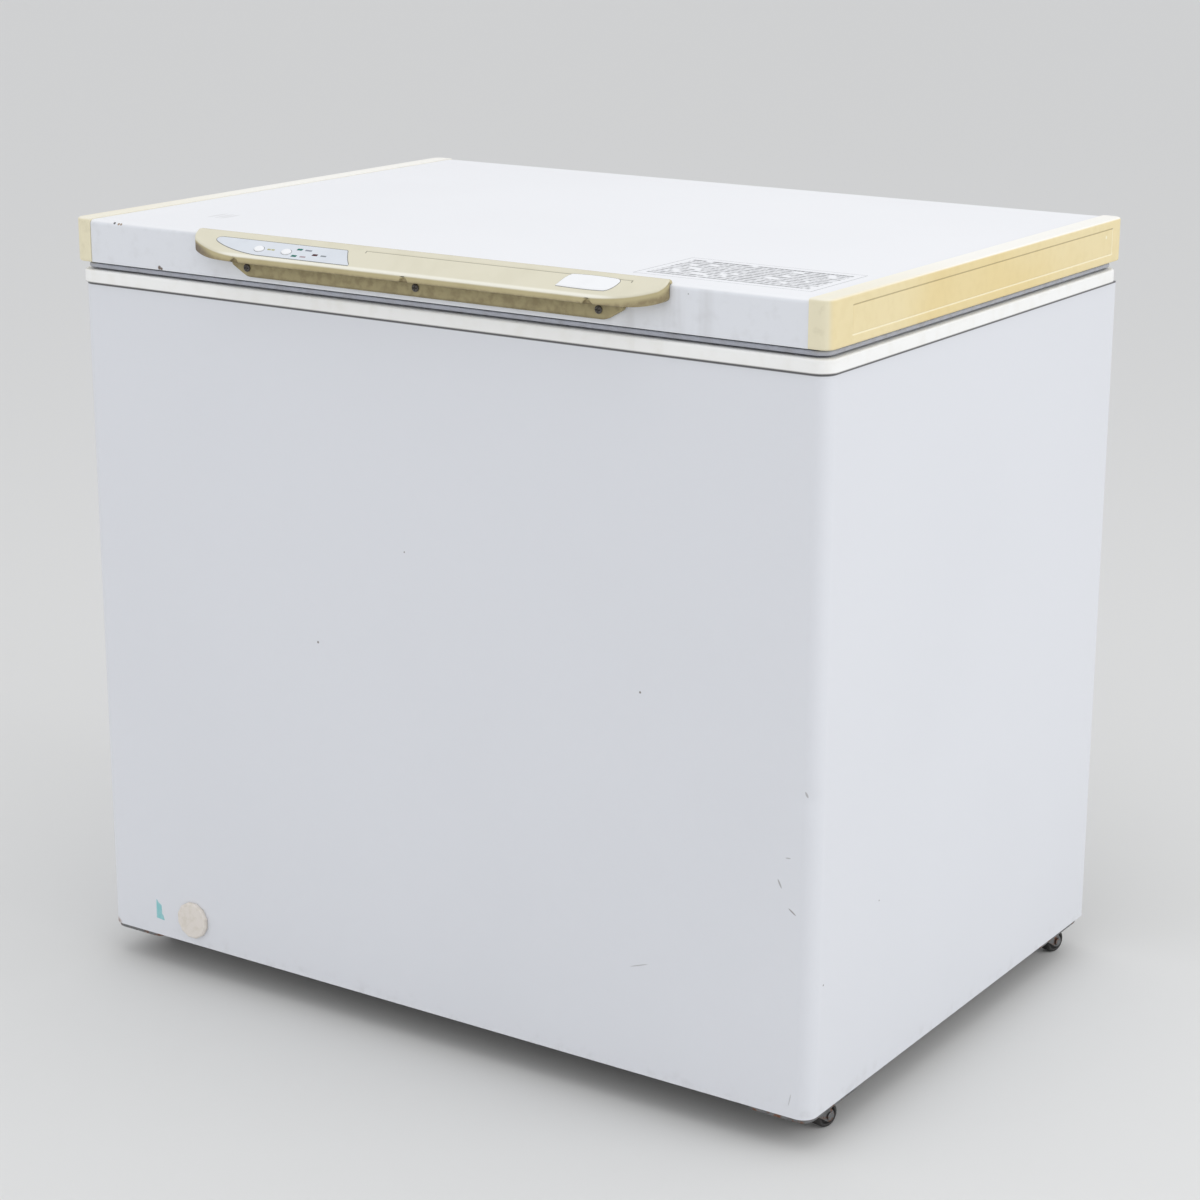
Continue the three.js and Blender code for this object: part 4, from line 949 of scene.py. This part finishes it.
def tub():
    """The tub and its raised floor: one line in X and Z, with round corners, carried from front to back. At
    both ends the line moves inwards by r (1 - cos a) while it travels r sin a, and a flat wall closes it.
    The surface faces into the tub, and Solidify thickens it away from there."""
    r, sheet = 22, 1.5
    left, right = TUB_LOW[0] + sheet, TUB_HIGH[0] - sheet
    floor, top = TUB_LOW[2] + sheet, TUB_HIGH[2]
    step_x, step_z, edge = 180, 385, 7
    runs = [
        (np.array([[left, top], [left, floor + r + 4]]), np.array([[1, 0], [1, 0]])),
        ((left + r, floor + r), r, 180, 270, 1),
        ((step_x - r, floor + r), r, 270, 360, 1),
        (np.array([[step_x, floor + r + 4], [step_x, step_z - edge - 4]]), np.array([[-1, 0], [-1, 0]])),
        ((step_x + edge, step_z - edge), edge, 180, 90, -1),
        ((right - r, step_z + r), r, 270, 360, 1),
        (np.array([[right, step_z + r + 4], [right, top]]), np.array([[-1, 0], [-1, 0]])),
    ]
    line, away = [], []
    for run in runs:
        if len(run) == 2:
            line.append(run[0])
            away.append(run[1])
            continue
        centre, radius, start, end, sign = run
        points = arc(centre, radius, start, end, 9)
        line.append(points)
        away.append(-sign * unit(points - centre))
    line, away = np.concatenate(line), np.concatenate(away)
    y0, y1 = TUB_LOW[1] + sheet, TUB_HIGH[1] - sheet
    turn = np.radians(np.linspace(90, 0, 8))
    moves = [(r * (1 - math.cos(t)), y0 + r * (1 - math.sin(t))) for t in turn]
    moves += [(step, y0 + y1 - y) for step, y in moves[::-1]]
    rings = [level(line + away * step, y)[:, [0, 2, 1]] for step, y in moves]
    mesh = meshed("tub_shell", lofted(rings, around=False))
    lowest = min(mesh.polygons, key=lambda face: face.center.z)
    if lowest.normal.z < 0:
        mesh.flip_normals()
    shade(mesh, 40)
    made = link("tub_shell", mesh)
    modifier(made, "SOLIDIFY", thickness=sheet * MM, offset=-1)
    owned(made, TUB_ENAMEL, "cabinet", ["tub_liner"])


def wire_basket():
    """Welded wire: three closed rings and two families of U-shaped wires, each a circle on a flat path."""
    low, high = BASKET_LOW + (3, 3, 1.6), BASKET_HIGH - (3, 3, 2.8)
    taper = 7
    parts = []
    rims = ((high[2], 2.8, 0), ((low[2] + high[2]) / 2, 1.6, taper / 2 + 1), (low[2] + 16, 1.6, taper))
    for z, wire, step in rims:
        outline = round_rect(low[:2] + step, high[:2] - step, 16, 10)
        parts.append(tube(level(outline, z), wire, (0, 0, 1), 10, closed=True))

    def across(a0, a1, z0, z1):
        """The U in its own plane: down, along the floor and up, with round bends."""
        ends = [(a0, z1), (a0 + taper, z0), (a1 - taper, z0), (a1, z1)]
        return softened(ends, [0, 13, 13, 0], 7)

    for y in np.linspace(low[1] + 20, high[1] - 20, 15):
        u = across(low[0] + 2, high[0] - 2, low[2] + 1.4, high[2])
        path = np.stack([u[:, 0], 0 * u[:, 0] + y, u[:, 1]], -1)
        parts.append(tube(path, 1.4, (0, 1, 0), 7))
    for x in np.linspace(low[0] + 20, high[0] - 20, 6):
        u = across(low[1] + 2, high[1] - 2, low[2] + 3.6, high[2])
        path = np.stack([0 * u[:, 0] + x, u[:, 0], u[:, 1]], -1)
        parts.append(tube(path, 1.4, (1, 0, 0), 7))
    piece("wire_basket", together(parts), WIRE_COAT, "basket", ["basket"], sharp=60)


def drain_cap():
    """Twelve-sided cap with a narrow bevel, and the stopper behind it. The rim's radius is divided by the
    cosine of the angle from the middle of each facet."""
    rim, top = 22, DRAIN[1] - 0.3 - box("drain_cap")[0][1]
    profile = softened(
        [(0, -14), (8.4, -14), (8.4, 0), (rim - 3, 0), (rim, 0), (rim, top - 1.3), (rim - 1.6, top),
         (14, top), (0, top)],
        [0, 1, 0.5, 0.2, 0.3, 0.2, 0.2, 0.3, 0], 4,
    )
    points, faces = turned(profile, 96)
    across = np.hypot(points[:, 0], points[:, 1])
    angle = np.arctan2(points[:, 1], points[:, 0])
    half = math.pi / 12
    facet = math.cos(half) / np.cos((angle + half) % (2 * half) - half)
    share = np.clip((across - 15) / 4, 0, 1)
    points[:, :2] *= (1 - share + share * facet)[:, None]
    part = set_at((points, faces), DRAIN - (0, 0.3, 0), (0, -1, 0))
    piece("drain_cap_knob", part, KNOB_PLASTIC, "drain_cap", ["drain_cap"], sharp=25)


def drain_plug():
    """The stopper in the tub's floor: a shank, a flange and a knob, turned about Z."""
    low, high = box("drain_plug")
    x, y = (low[:2] + high[:2]) / 2
    base = low[2] + 10
    profile = softened(
        [(0, -10), (8.4, -10), (8.4, 0.4), (15, 0.4), (15, 3), (12, 5), (4, 5), (4, 11), (6.2, 14),
         (0, 16)],
        [0, 1.5, 0.2, 0.6, 0.8, 1.2, 2, 1.5, 2.2, 0], 5,
    )
    part = set_at(turned(profile), (x, y, base), (0, 0, 1))
    piece("drain_stopper", part, GASKET_RUBBER, "drain_plug", ["drain_plug"])


def tape_remnant():
    """A torn corner of tape: a thin plate with one slanting edge."""
    outline = [(-6.5, 12), (-6.8, -11.5), (5.4, -12.5), (3.2, -6), (1.6, -5.5), (1.2, 5.8), (-2.8, 8)]
    part = slab(softened(outline, 0.8, 3, closed=True), 0, 0.25, 0.1)
    piece("tape_remnant", set_at(part, (-398.5, WRAP_LOW[1], 70), (0, -1, 0)), TAPE, "cabinet")


def compressor():
    """The pot, turned about Z, on a plate with four rubber feet."""
    low, high = box("compressor")
    x, y = (low[:2] + high[:2]) / 2
    z = low[2]
    pot = softened(
        [(0, z + 11), (56, z + 11), (69, z + 22), (70, z + 88), (73, z + 91), (73, z + 97), (69, z + 100),
         (66, z + 138), (46, z + 164), (0, z + 173.5)],
        [0, 6, 8, 1.5, 1, 1, 1.5, 12, 14, 0], 8,
    )
    parts = [turned(pot, 64), bar((-92, -62, z + 9.7), (92, 62, z + 12.7), 2)]
    for foot_x in (-78, 78):
        for foot_y in (-48, 48):
            bush = softened([(0, 0), (10, 0), (8.4, 5), (10, 10), (6, 13), (0, 13)], [0, 1, 2, 1, 1, 0], 4)
            parts.append(set_at(turned(bush, 24), (foot_x, foot_y, z), (0, 0, 1)))
    points, faces = together(parts)
    piece("compressor_pot", (points + (x, y, 0), faces), BLACK_STEEL, "cabinet", ["compressor"])


# Casters ----------------------------------------------------------------------------------------

def caster(corner):
    """Plate, fork and axle with eased edges, a ball race under the plate, and a wheel with a raised tread."""
    fork = f"caster_fork_{corner}"
    wheel = f"caster_wheel_{corner}"
    eased(f"{corner}_plate", f"caster_plate_{corner}", ZINC, 0.6)
    eased(f"{corner}_fork", fork, ZINC, 0.4)
    eased(f"{corner}_axle", f"caster_axle_{corner}", ZINC, 0.4)
    low, high = box(wheel)
    centre = (low + high) / 2
    stem = centre - np.array([math.cos(HEADING), math.sin(HEADING), 0]) * TRAIL
    top = box(f"caster_plate_{corner}")[0][2] - 0.2
    race = softened(
        [(9, -3.4), (16.4, -3.4), (16.8, -1.6), (14.5, 0), (9, 0)],
        [0.3, 0.8, 0.8, 0.5, 0.3], 5, closed=True,
    )
    part = set_at(turned(race, 40, closed=True), (stem[0], stem[1], top), (0, 0, 1))
    piece(f"{corner}_race", part, ZINC, f"swivel_{corner}")
    tread = softened(
        [(3.3, -6.6), (5.4, -6.6), (5.8, -5.2), (9.4, -5.2), (10, -8), (12.6, -8), (14, -6), (14, 6), (12.6, 8),
         (10, 8), (9.4, 5.2), (5.8, 5.2), (5.4, 6.6), (3.3, 6.6)],
        [0.2, 0.4, 0.4, 0.6, 0.6, 0.8, 2, 2, 0.8, 0.6, 0.6, 0.4, 0.4, 0.2], 4, closed=True,
    )
    axle = (-math.sin(HEADING), math.cos(HEADING), 0)
    part = set_at(turned(tread, 56, closed=True), centre, axle, (0, 0, 1))
    piece(f"{corner}_wheel", part, WHEEL_RUBBER, f"wheel_{corner}", [wheel])


# Lid --------------------------------------------------------------------------------------------


def lid_sheet():
    """One sheet over the lid's front, top and back: a line in Y and Z and the same line 1 mm inside."""
    (y0, z0), (y1, z1) = SKIN_LOW[1:], SKIN_HIGH[1:]

    def line(step):
        """From the front's hem to the back's, a step inside the outer faces."""
        radius = 5 - step
        front = arc((y0 + step + radius, z1 - step - radius), radius, 180, 90, 9)
        back = arc((y1 - step - radius, z1 - step - radius), radius, 90, 0, 9)
        fold = 12
        hem = z0 + step
        start = softened([(y0 + fold, hem), (y0 + step, hem), (y0 + step, z0 + 8)], [0, 0.9, 0], 4)
        end = softened([(y1 - step, z0 + 8), (y1 - step, hem), (y1 - fold, hem)], [0, 0.9, 0], 4)
        hold = [(y0 + step + radius + 3, z1 - step), (y1 - step - radius - 3, z1 - step)]
        return np.concatenate([start, front, hold, back, end])

    section = np.concatenate([line(0), line(1)[::-1]])
    stations = np.linspace(SKIN_LOW[0], SKIN_HIGH[0], 9)
    part = lofted([level(section, x)[:, [2, 0, 1]] for x in stations])
    piece("lid_sheet", part, LID_ENAMEL, "lid", ["lid_skin"])


def end_cap(side):
    """An end of the lid: a line in plan, straight on the inside and with two round corners outside, stepped
    in and up round the upper and lower edges. The outer face carries a thin sunk rectangle, a bell curve of
    the distance from its outline, and stands a little lower inside it."""
    (x0, y0, z0), (x1, y1, z1) = CAP_LOW, CAP_HIGH
    r, ease = 12, 2.4
    near = np.linspace(0, 36, 25)
    run = np.concatenate([y0 + r + near, np.linspace(y0 + r + 50, y1 - r - 50, 9), (y1 - r - near)[::-1]])
    corner0 = arc((x1 - r, y0 + r), r, -90, 0, 9)[:-1]
    corner1 = arc((x1 - r, y1 - r), r, 0, 90, 9)[1:]
    line = np.concatenate([[(x0, y0)], corner0, np.stack([x1 + 0 * run, run], -1), corner1, [(x0, y1)]])
    out = np.zeros_like(line)
    out[:, 1] = np.where(line[:, 1] < y0 + r, -1, np.where(line[:, 1] > y1 - r, 1, 0))
    centre = np.stack([np.full(len(line), x1 - r), np.clip(line[:, 1], y0 + r, y1 - r)], -1)
    bend = line[:, 0] > x1 - r + 1e-6
    out[bend] = unit(line[bend] - centre[bend])
    turn = np.radians(np.linspace(0, 90, 6))
    lower = [(ease * (1 - math.sin(t)), z0 + ease * (1 - math.cos(t))) for t in turn]
    upper = [(step, z0 + z1 - z) for step, z in lower[::-1]]
    middle = [(0, z) for z in np.linspace(z0 + ease + 0.8, z1 - ease - 0.8, 58)]
    panel_middle, panel_half = (CAP_PANEL_LOW + CAP_PANEL_HIGH) / 2, (CAP_PANEL_HIGH - CAP_PANEL_LOW) / 2
    rings = []
    for step, z in lower + middle + upper:
        points = level(line - out * step, z)
        away = np.abs(points[:, 1:] - panel_middle) - panel_half + 3
        distance = np.hypot(*np.maximum(away, 0).T) + np.minimum(away.max(1), 0) - 3
        groove = 0.65 * np.exp(-((distance / 0.55) ** 2)) + 0.25 / (1 + np.exp(distance / 0.3))
        points[:, 0] -= np.where(points[:, 0] > x1 - 0.5, groove, 0)
        rings.append(points)
    points, faces = lofted(rings)
    if side == "left":
        points = points * (-1, 1, 1)
    piece(f"end_cap_{side}", (points, faces), CAP_PLASTIC, "lid", [f"lid_cap_{side}"], sharp=50)


def inner_lid():
    """The inner lid: rings from the flange's edge, over a rounded shoulder and down the plug, then a shallow
    panel pressed up in the middle, by less than the sheet's thickness so that it stays clear of the foam."""
    low, high = box("lid_liner")
    plug = np.array([404.0, 259.0])
    centre = np.array([0, MIDDLE_Y])
    flange = high[2] - 1.5
    steps = softened(
        [(0, flange), (0.1, low[2]), (34, low[2]), (38, low[2] + 1.4), (60, low[2] + 1.4)],
        [0, 6, 1, 1, 0], 7,
    )
    rings = [level(round_rect(low[:2], high[:2], 4), z) for z in (high[2], flange)]
    for step, z in [(-6, flange), *steps[1:]]:
        radius = max(20 - step, 6)
        rings.append(level(round_rect(centre - plug + step, centre + plug - step, radius), z))
    piece("inner_lid", lofted(rings), TUB_ENAMEL, "lid", ["lid_liner"])


def gasket():
    """Magnet seal: a closed section, carried round the lid, whose rounded nose stands out between a thin lip
    on the lid and another on the frame."""
    z0, z1 = SEAL_LOW[2], SEAL_HIGH[2]
    section = softened(
        [
            (5, z1), (5, z1 - 1.9), (0, z1 - 1.9), (0, z0 + 1.5), (5, z0 + 1.5), (5, z0), (22, z0),
            (24, z0 + 2.6), (22.4, (z0 + z1) / 2), (24, z1 - 2.6), (22, z1),
        ],
        [0.2, 0.4, 2.2, 2.2, 0.4, 0.2, 0.8, 1.2, 1.2, 1.2, 0.8], 6, closed=True,
    )
    piece("seal", ring_frame(section, SEAL_LOW, SEAL_HIGH, 13, 4), GASKET_RUBBER, "lid", ["lid_gasket"])


# Grip bar ---------------------------------------------------------------------------------------


def bar_front():
    """The bar's front line in plan as (x, y): straight, then a long quadratic curve and a short one."""
    y = GRIP_LOW[1]
    half, curve, shoulder = GRIP_HALF, 75, y + 20
    notches = np.concatenate([x - GRIP_X + np.linspace(-6, 6, 17) for x in SCREWS.values()])
    straight = np.append(np.arange(-half + curve, half - curve + 0.1, 2.5), notches)
    straight = np.unique(np.round(straight, 3))
    straight = straight[np.abs(straight) <= half - curve]
    sweep = bow((half - curve, y), (half - curve / 2, y + 1), (half - 6, shoulder - 5), 22)[1:]
    end = bow((half - 6, shoulder - 5), (half, shoulder), (half, shoulder + 7), 12)[1:]
    right = np.concatenate([sweep, end])
    line = np.concatenate([right[::-1] * (-1, 1), np.stack([straight, y + 0 * straight], -1), right])
    return line + (GRIP_X, 0)


def control_height(y):
    """Height of the sloping control face."""
    return GRIP_HIGH[2] + (y - SLOPE_Y) * math.tan(SLOPE)


def bar_section(x, front):
    """Y and Z across the bar: up over the lid's edge, down the sloping face, round the front edge, down the
    lip and back underneath. The lip is a circle's arc higher in front of each screw and turns up at both
    ends, the face falls off by a quarter circle at the blunt ends, and the groove is a bell curve."""
    back, top, lap, inner = GRIP_HIGH[1], GRIP_HIGH[2], SKIN_HIGH[2] + 0.4, SKIN_LOW[1] - 0.3
    ease = float(np.clip((SLOPE_Y - front) * 0.5, 0.25, 1.5))
    crest = control_height(front)
    over = np.array([(back, lap), (back, top - 1.2), (back - 0.3, top - 0.4), (back - 1.1, top)])
    y = SLOPE_Y + (front + ease - SLOPE_Y) * np.linspace(0, 1, 54)
    face = np.stack([y, control_height(y)], -1)
    edge = bow((front + ease, control_height(front + ease)), (front, crest), (front, crest - ease), 9)[1:]

    nearest = min(abs(x - screw) for screw in SCREWS.values())
    notch = math.sqrt(max(0, 5.4**2 - nearest**2)) * 0.85
    turn_up = np.clip((abs(x - GRIP_X) - (GRIP_HALF - 42)) / 42, 0, 1)
    low = GRIP_BOTTOM + 10 * (1 - math.sqrt(1 - turn_up**2))
    lip_z = np.linspace(crest - ease - 0.8, low + 1.8 + notch, 6)
    lip = np.stack([front + 0 * lip_z, lip_z], -1)
    under = bow((front, low + 1.8 + notch), (front, low + notch), (front + 1.8, low + notch), 6)[1:]
    deeper = min(front + 4.5, SLOPE_Y - 0.1)
    behind = np.array([
        (max(deeper - 0.4, front + 1.9), low + notch), (max(deeper, front + 2), low),
        (inner, low), (inner, lap),
    ])

    ring = np.concatenate([over, face, edge, lip, under, behind])
    past = max(0, abs(x - GRIP_X) - (GRIP_HALF - 2.5))
    ring[: len(over) + len(face) + len(edge), 1] -= 2.5 - math.sqrt(max(0, 2.5**2 - past**2))
    ring[:, 1] = np.maximum(ring[:, 1], low)
    start, end = GROOVE_ENDS
    v = (SLOPE_Y - ring[:, 0]) / math.cos(SLOPE)
    away = np.hypot(np.clip(x, start, end) - x, v - GROOVE_V)
    depth = 0.5 * np.exp(-((away / 0.6) ** 2))
    depth[len(over) + len(face):] = 0
    return ring + depth[:, None] * (math.sin(SLOPE), -math.cos(SLOPE))


def grip_bar():
    """One section across the bar for each point of its front line."""
    rings = [level(bar_section(x, front), x)[:, [2, 0, 1]] for x, front in bar_front()]
    piece("grip_bar", lofted(rings), GRIP_PLASTIC, "lid", ["grip_cover"], sharp=48)


def grip_skirt():
    """The plate under the bar, with slanting ends and a rounded lower edge, and its narrow shelf."""
    low, high = GRIP_BASE_LOW[2], GRIP_BOTTOM - 0.3
    corners = [(-229, low), (229, low), (250, low + 12), (250, high), (-250, high), (-250, low + 12)]
    outline = softened(corners, [5, 5, 3, 0.8, 0.8, 3], 6, closed=True) + (GRIP_X, 0)
    back = SKIN_LOW[1] - 0.3
    points, faces = slab(outline, 0, 5.7, 1.4)
    plate = points[:, [0, 2, 1]] * (1, -1, 1) + (0, back, 0), faces
    shelf = bar((GRIP_X - 236, GRIP_LOW[1] + 4, high - 0.2), (GRIP_X + 236, back - 3, high + 0.3), 0.2)
    piece("grip_skirt", together([plate, shelf]), SKIRT_PLASTIC, "lid", ["grip_base"])


def grip_screw(place, x):
    """A pan head and its shank."""
    node = f"grip_screw_{place}"
    low, high = box(node)
    head = 2.2
    seat = (x, low[1] + head, (low[2] + high[2]) / 2)
    shank = turned([(0, 0), (2, 0), (2, 11.3), (0, 11.3)], 20)
    parts = [set_at(pan_head(4.2, head), seat, (0, -1, 0)), set_at(shank, seat, (0, 1, 0))]
    piece(f"skirt_screw_{place}", together(parts), DULL_STEEL, "lid", [node])


def on_bar(part, x, v):
    """Lays a turned part on the control face, square to it, stretched to the buttons' oval."""
    points, faces = part
    return on_face(set_at((points * BUTTON_OVAL, faces), (x, -v, 0), (0, 0, 1)))


def overlay():
    """The control film, pointed and bowed at its left end and cut slantwise at its right, with two holes for
    the buttons, over a thin dark rim that stands for the painted shadow round its edge."""
    left, right, top, low = -264, -80, -8.5, -29.5
    outline = np.concatenate([
        np.array([(left + 66, low), (right + 7, low)]),
        bow((right + 6, low + 2), (right, low + 8), (right - 6, top - 1), 6),
        np.array([(right - 7, top), (left + 8, top)]),
        bow((left + 5, top - 0.2), (left - 2, top - 4), (left + 7, low + 13), 9)[1:],
        bow((left + 7, low + 13), (left + 30, low + 3), (left + 66, low), 14)[1:-1],
    ])
    # A dark rim a little wider than the film: painted shadow round its edge.
    rim = slab(inset(outline, -0.7), -0.7, 0.14, 0.05)
    piece("film_edge_shadow", on_face(rim), EDGE_SHADOW_LINE, "lid")
    part = slab(outline, -0.7, 0.3, 0.1)
    made = piece("control_film", on_face(part), OVERLAY_FILM, "lid", ["control_overlay"])
    hole = turned([(0, -3), (6, -3), (6, 3), (0, 3)], 40)
    pierced(made, [on_bar(hole, x, BUTTON_V) for x in BUTTONS.values()])


def badge():
    """A blank white plate with bowed long edges and a low crown: rings move in while they rise."""
    x, v, w, h, lean = 219, 15, 32, 9, 4
    outline = np.concatenate([
        bow((x - w - lean, -v - h), (x, -v - h - 1.5), (x + w - lean - 8, -v - h), 14),
        bow((x + w - lean - 8, -v - h), (x + w - lean, -v - h + 2), (x + w, -v + h - 5), 8)[1:],
        bow((x + w, -v + h - 5), (x + w + 1, -v + h), (x + w - 7, -v + h), 6)[1:],
        bow((x + w - 7, -v + h), (x, -v + h + 1.5), (x - w + lean + 4, -v + h), 14)[1:],
        bow((x - w + lean + 4, -v + h), (x - w + 1, -v + h - 2), (x - w - lean, -v - h), 10)[1:-1],
    ])
    # A dark rim a little wider than the badge: painted shadow round its edge.
    rim = slab(inset(outline, -0.5), -0.7, 0.14, 0.05)
    piece("badge_edge_shadow", on_face(rim), EDGE_SHADOW_LINE, "lid")
    rings = [level(outline, -0.4)]
    for step, z in ((0, 0.35), (0.3, 0.65), (1, 0.85), (2.2, 1.0)):
        rings.append(level(inset(outline, step), z))
    piece("blank_badge", on_face(lofted(rings)), BUTTON_PLASTIC, "lid", ["badge_plate"])


def button(name, x):
    """A low round-edged cap."""
    profile = softened([(0, -5), (5.5, -5), (5.5, 1.4), (0, 1.5)], [0, 0.4, 1.1, 0], 6)
    piece(f"{name}_cap", on_bar(turned(profile, 40), x, BUTTON_V), BUTTON_PLASTIC, name, [name])


def lamp(name, x, v):
    """A small slanting lens."""
    outline = np.array([(x - 4, -v - 1.4), (x + 3, -v - 1.4), (x + 4, -v + 1.4), (x - 2.8, -v + 1.4)])
    part = slab(softened(outline, 0.6, 4, closed=True), -4.5, 0.55, 0.35)
    color = RED_LENS if name == "warning_lamp" else GREEN_LENS
    piece(f"{name}_lens", on_face(part), color, "lid", [name])


# Everything in place ----------------------------------------------------------------------------

wrap_sheet()
top_frame()
back_sheet()
air_grille()
back_screws()
tub()
wire_basket()
drain_cap()
drain_plug()
tape_remnant()
compressor()
for corner_name in ("front_left", "front_right", "rear_left", "rear_right"):
    caster(corner_name)

lid_sheet()
end_cap("right")
end_cap("left")
inner_lid()
gasket()

grip_bar()
grip_skirt()
for screw_name, screw_x in SCREWS.items():
    grip_screw(screw_name, screw_x)
overlay()
badge()
for button_name, button_x in BUTTONS.items():
    button(button_name, button_x)
for lamp_name, (lamp_x, lamp_v) in LAMPS.items():
    lamp(lamp_name, lamp_x, lamp_v)

for side_name in ("left", "right"):
    for leaf in ("hinge_base", "hinge_arm", "hinge_pin"):
        eased(f"{leaf}_{side_name}_eased", f"{leaf}_{side_name}", ZINC, 0.5)
eased("starter_cover", "starter_box", DARK_PLASTIC, 1.2)
eased("lead_gland", "cord_inlet", DARK_PLASTIC, 0.4)

slots = {row["node"]: row["material_slot"] for row in frame["record"]["subparts"]}
for node_name, node in frame["nodes"].items():
    if not node.hide_render:
        node.data.materials.clear()
        node.data.materials.append(SLOT_FINISH[slots[node_name]].material)


# Floor, light and camera ------------------------------------------------------------------------


def floor():
    reach = 60
    mesh = bpy.data.meshes.new("studio_floor")
    corners = [(-reach, -reach, 0), (reach, -reach, 0), (reach, reach, 0), (-reach, reach, 0)]
    mesh.from_pydata(corners, [], [(0, 1, 2, 3)])
    made = link("studio_floor", mesh)
    mesh.materials.append(Finish("studio_floor", "", tone(222, 222, 220), 0.8).material)


def area_light(name, place, target, size, power):
    """A round light at a place, its -Z towards a target."""
    data = bpy.data.lights.new(name, "AREA")
    data.shape = "DISK"
    data.size = size
    data.energy = power
    back = unit(np.subtract(place, target))
    side = unit(np.cross((0, 0, 1), back))
    turn = np.eye(4)
    turn[:3, :3] = np.stack([side, np.cross(back, side), back], -1)
    turn[:3, 3] = place
    link(name, data).matrix_world = Matrix(turn.tolist())


def studio():
    """Plain even light all round, and three broad lights; colours are shown as they are."""
    world = bpy.data.worlds.new("studio")
    world.use_nodes = True
    background = world.node_tree.nodes["Background"].inputs
    background["Color"].default_value = tone(243, 244, 247)
    background["Strength"].default_value = 0.93
    bpy.context.scene.world = world
    bpy.context.scene.view_settings.view_transform = "Standard"
    area_light("overhead", (0.3, -0.4, 3.6), (0, 0, 0.5), 3.6, 14)
    area_light("right", (3.4, 0.3, 1.9), (0.2, 0, 0.4), 2.6, 26)
    area_light("front", (-1.2, -3.8, 1.5), (0, 0, 0.4), 3.0, 11)


def camera():
    data = bpy.data.cameras.new("camera")
    data.lens = 83.575
    data.sensor_width = 36
    made = link("camera", data)
    yaw, down, roll = (math.radians(angle) for angle in (33.6265, 15.8958, 0.1767))
    turn = Matrix.Rotation(yaw, 4, "Z") @ Matrix.Rotation(math.pi / 2 - down, 4, "X")
    place = Matrix.Translation((1.7226, -2.5846, 1.3205))
    made.matrix_world = place @ turn @ Matrix.Rotation(roll, 4, "Z")
    bpy.context.scene.camera = made


floor()
studio()
camera()
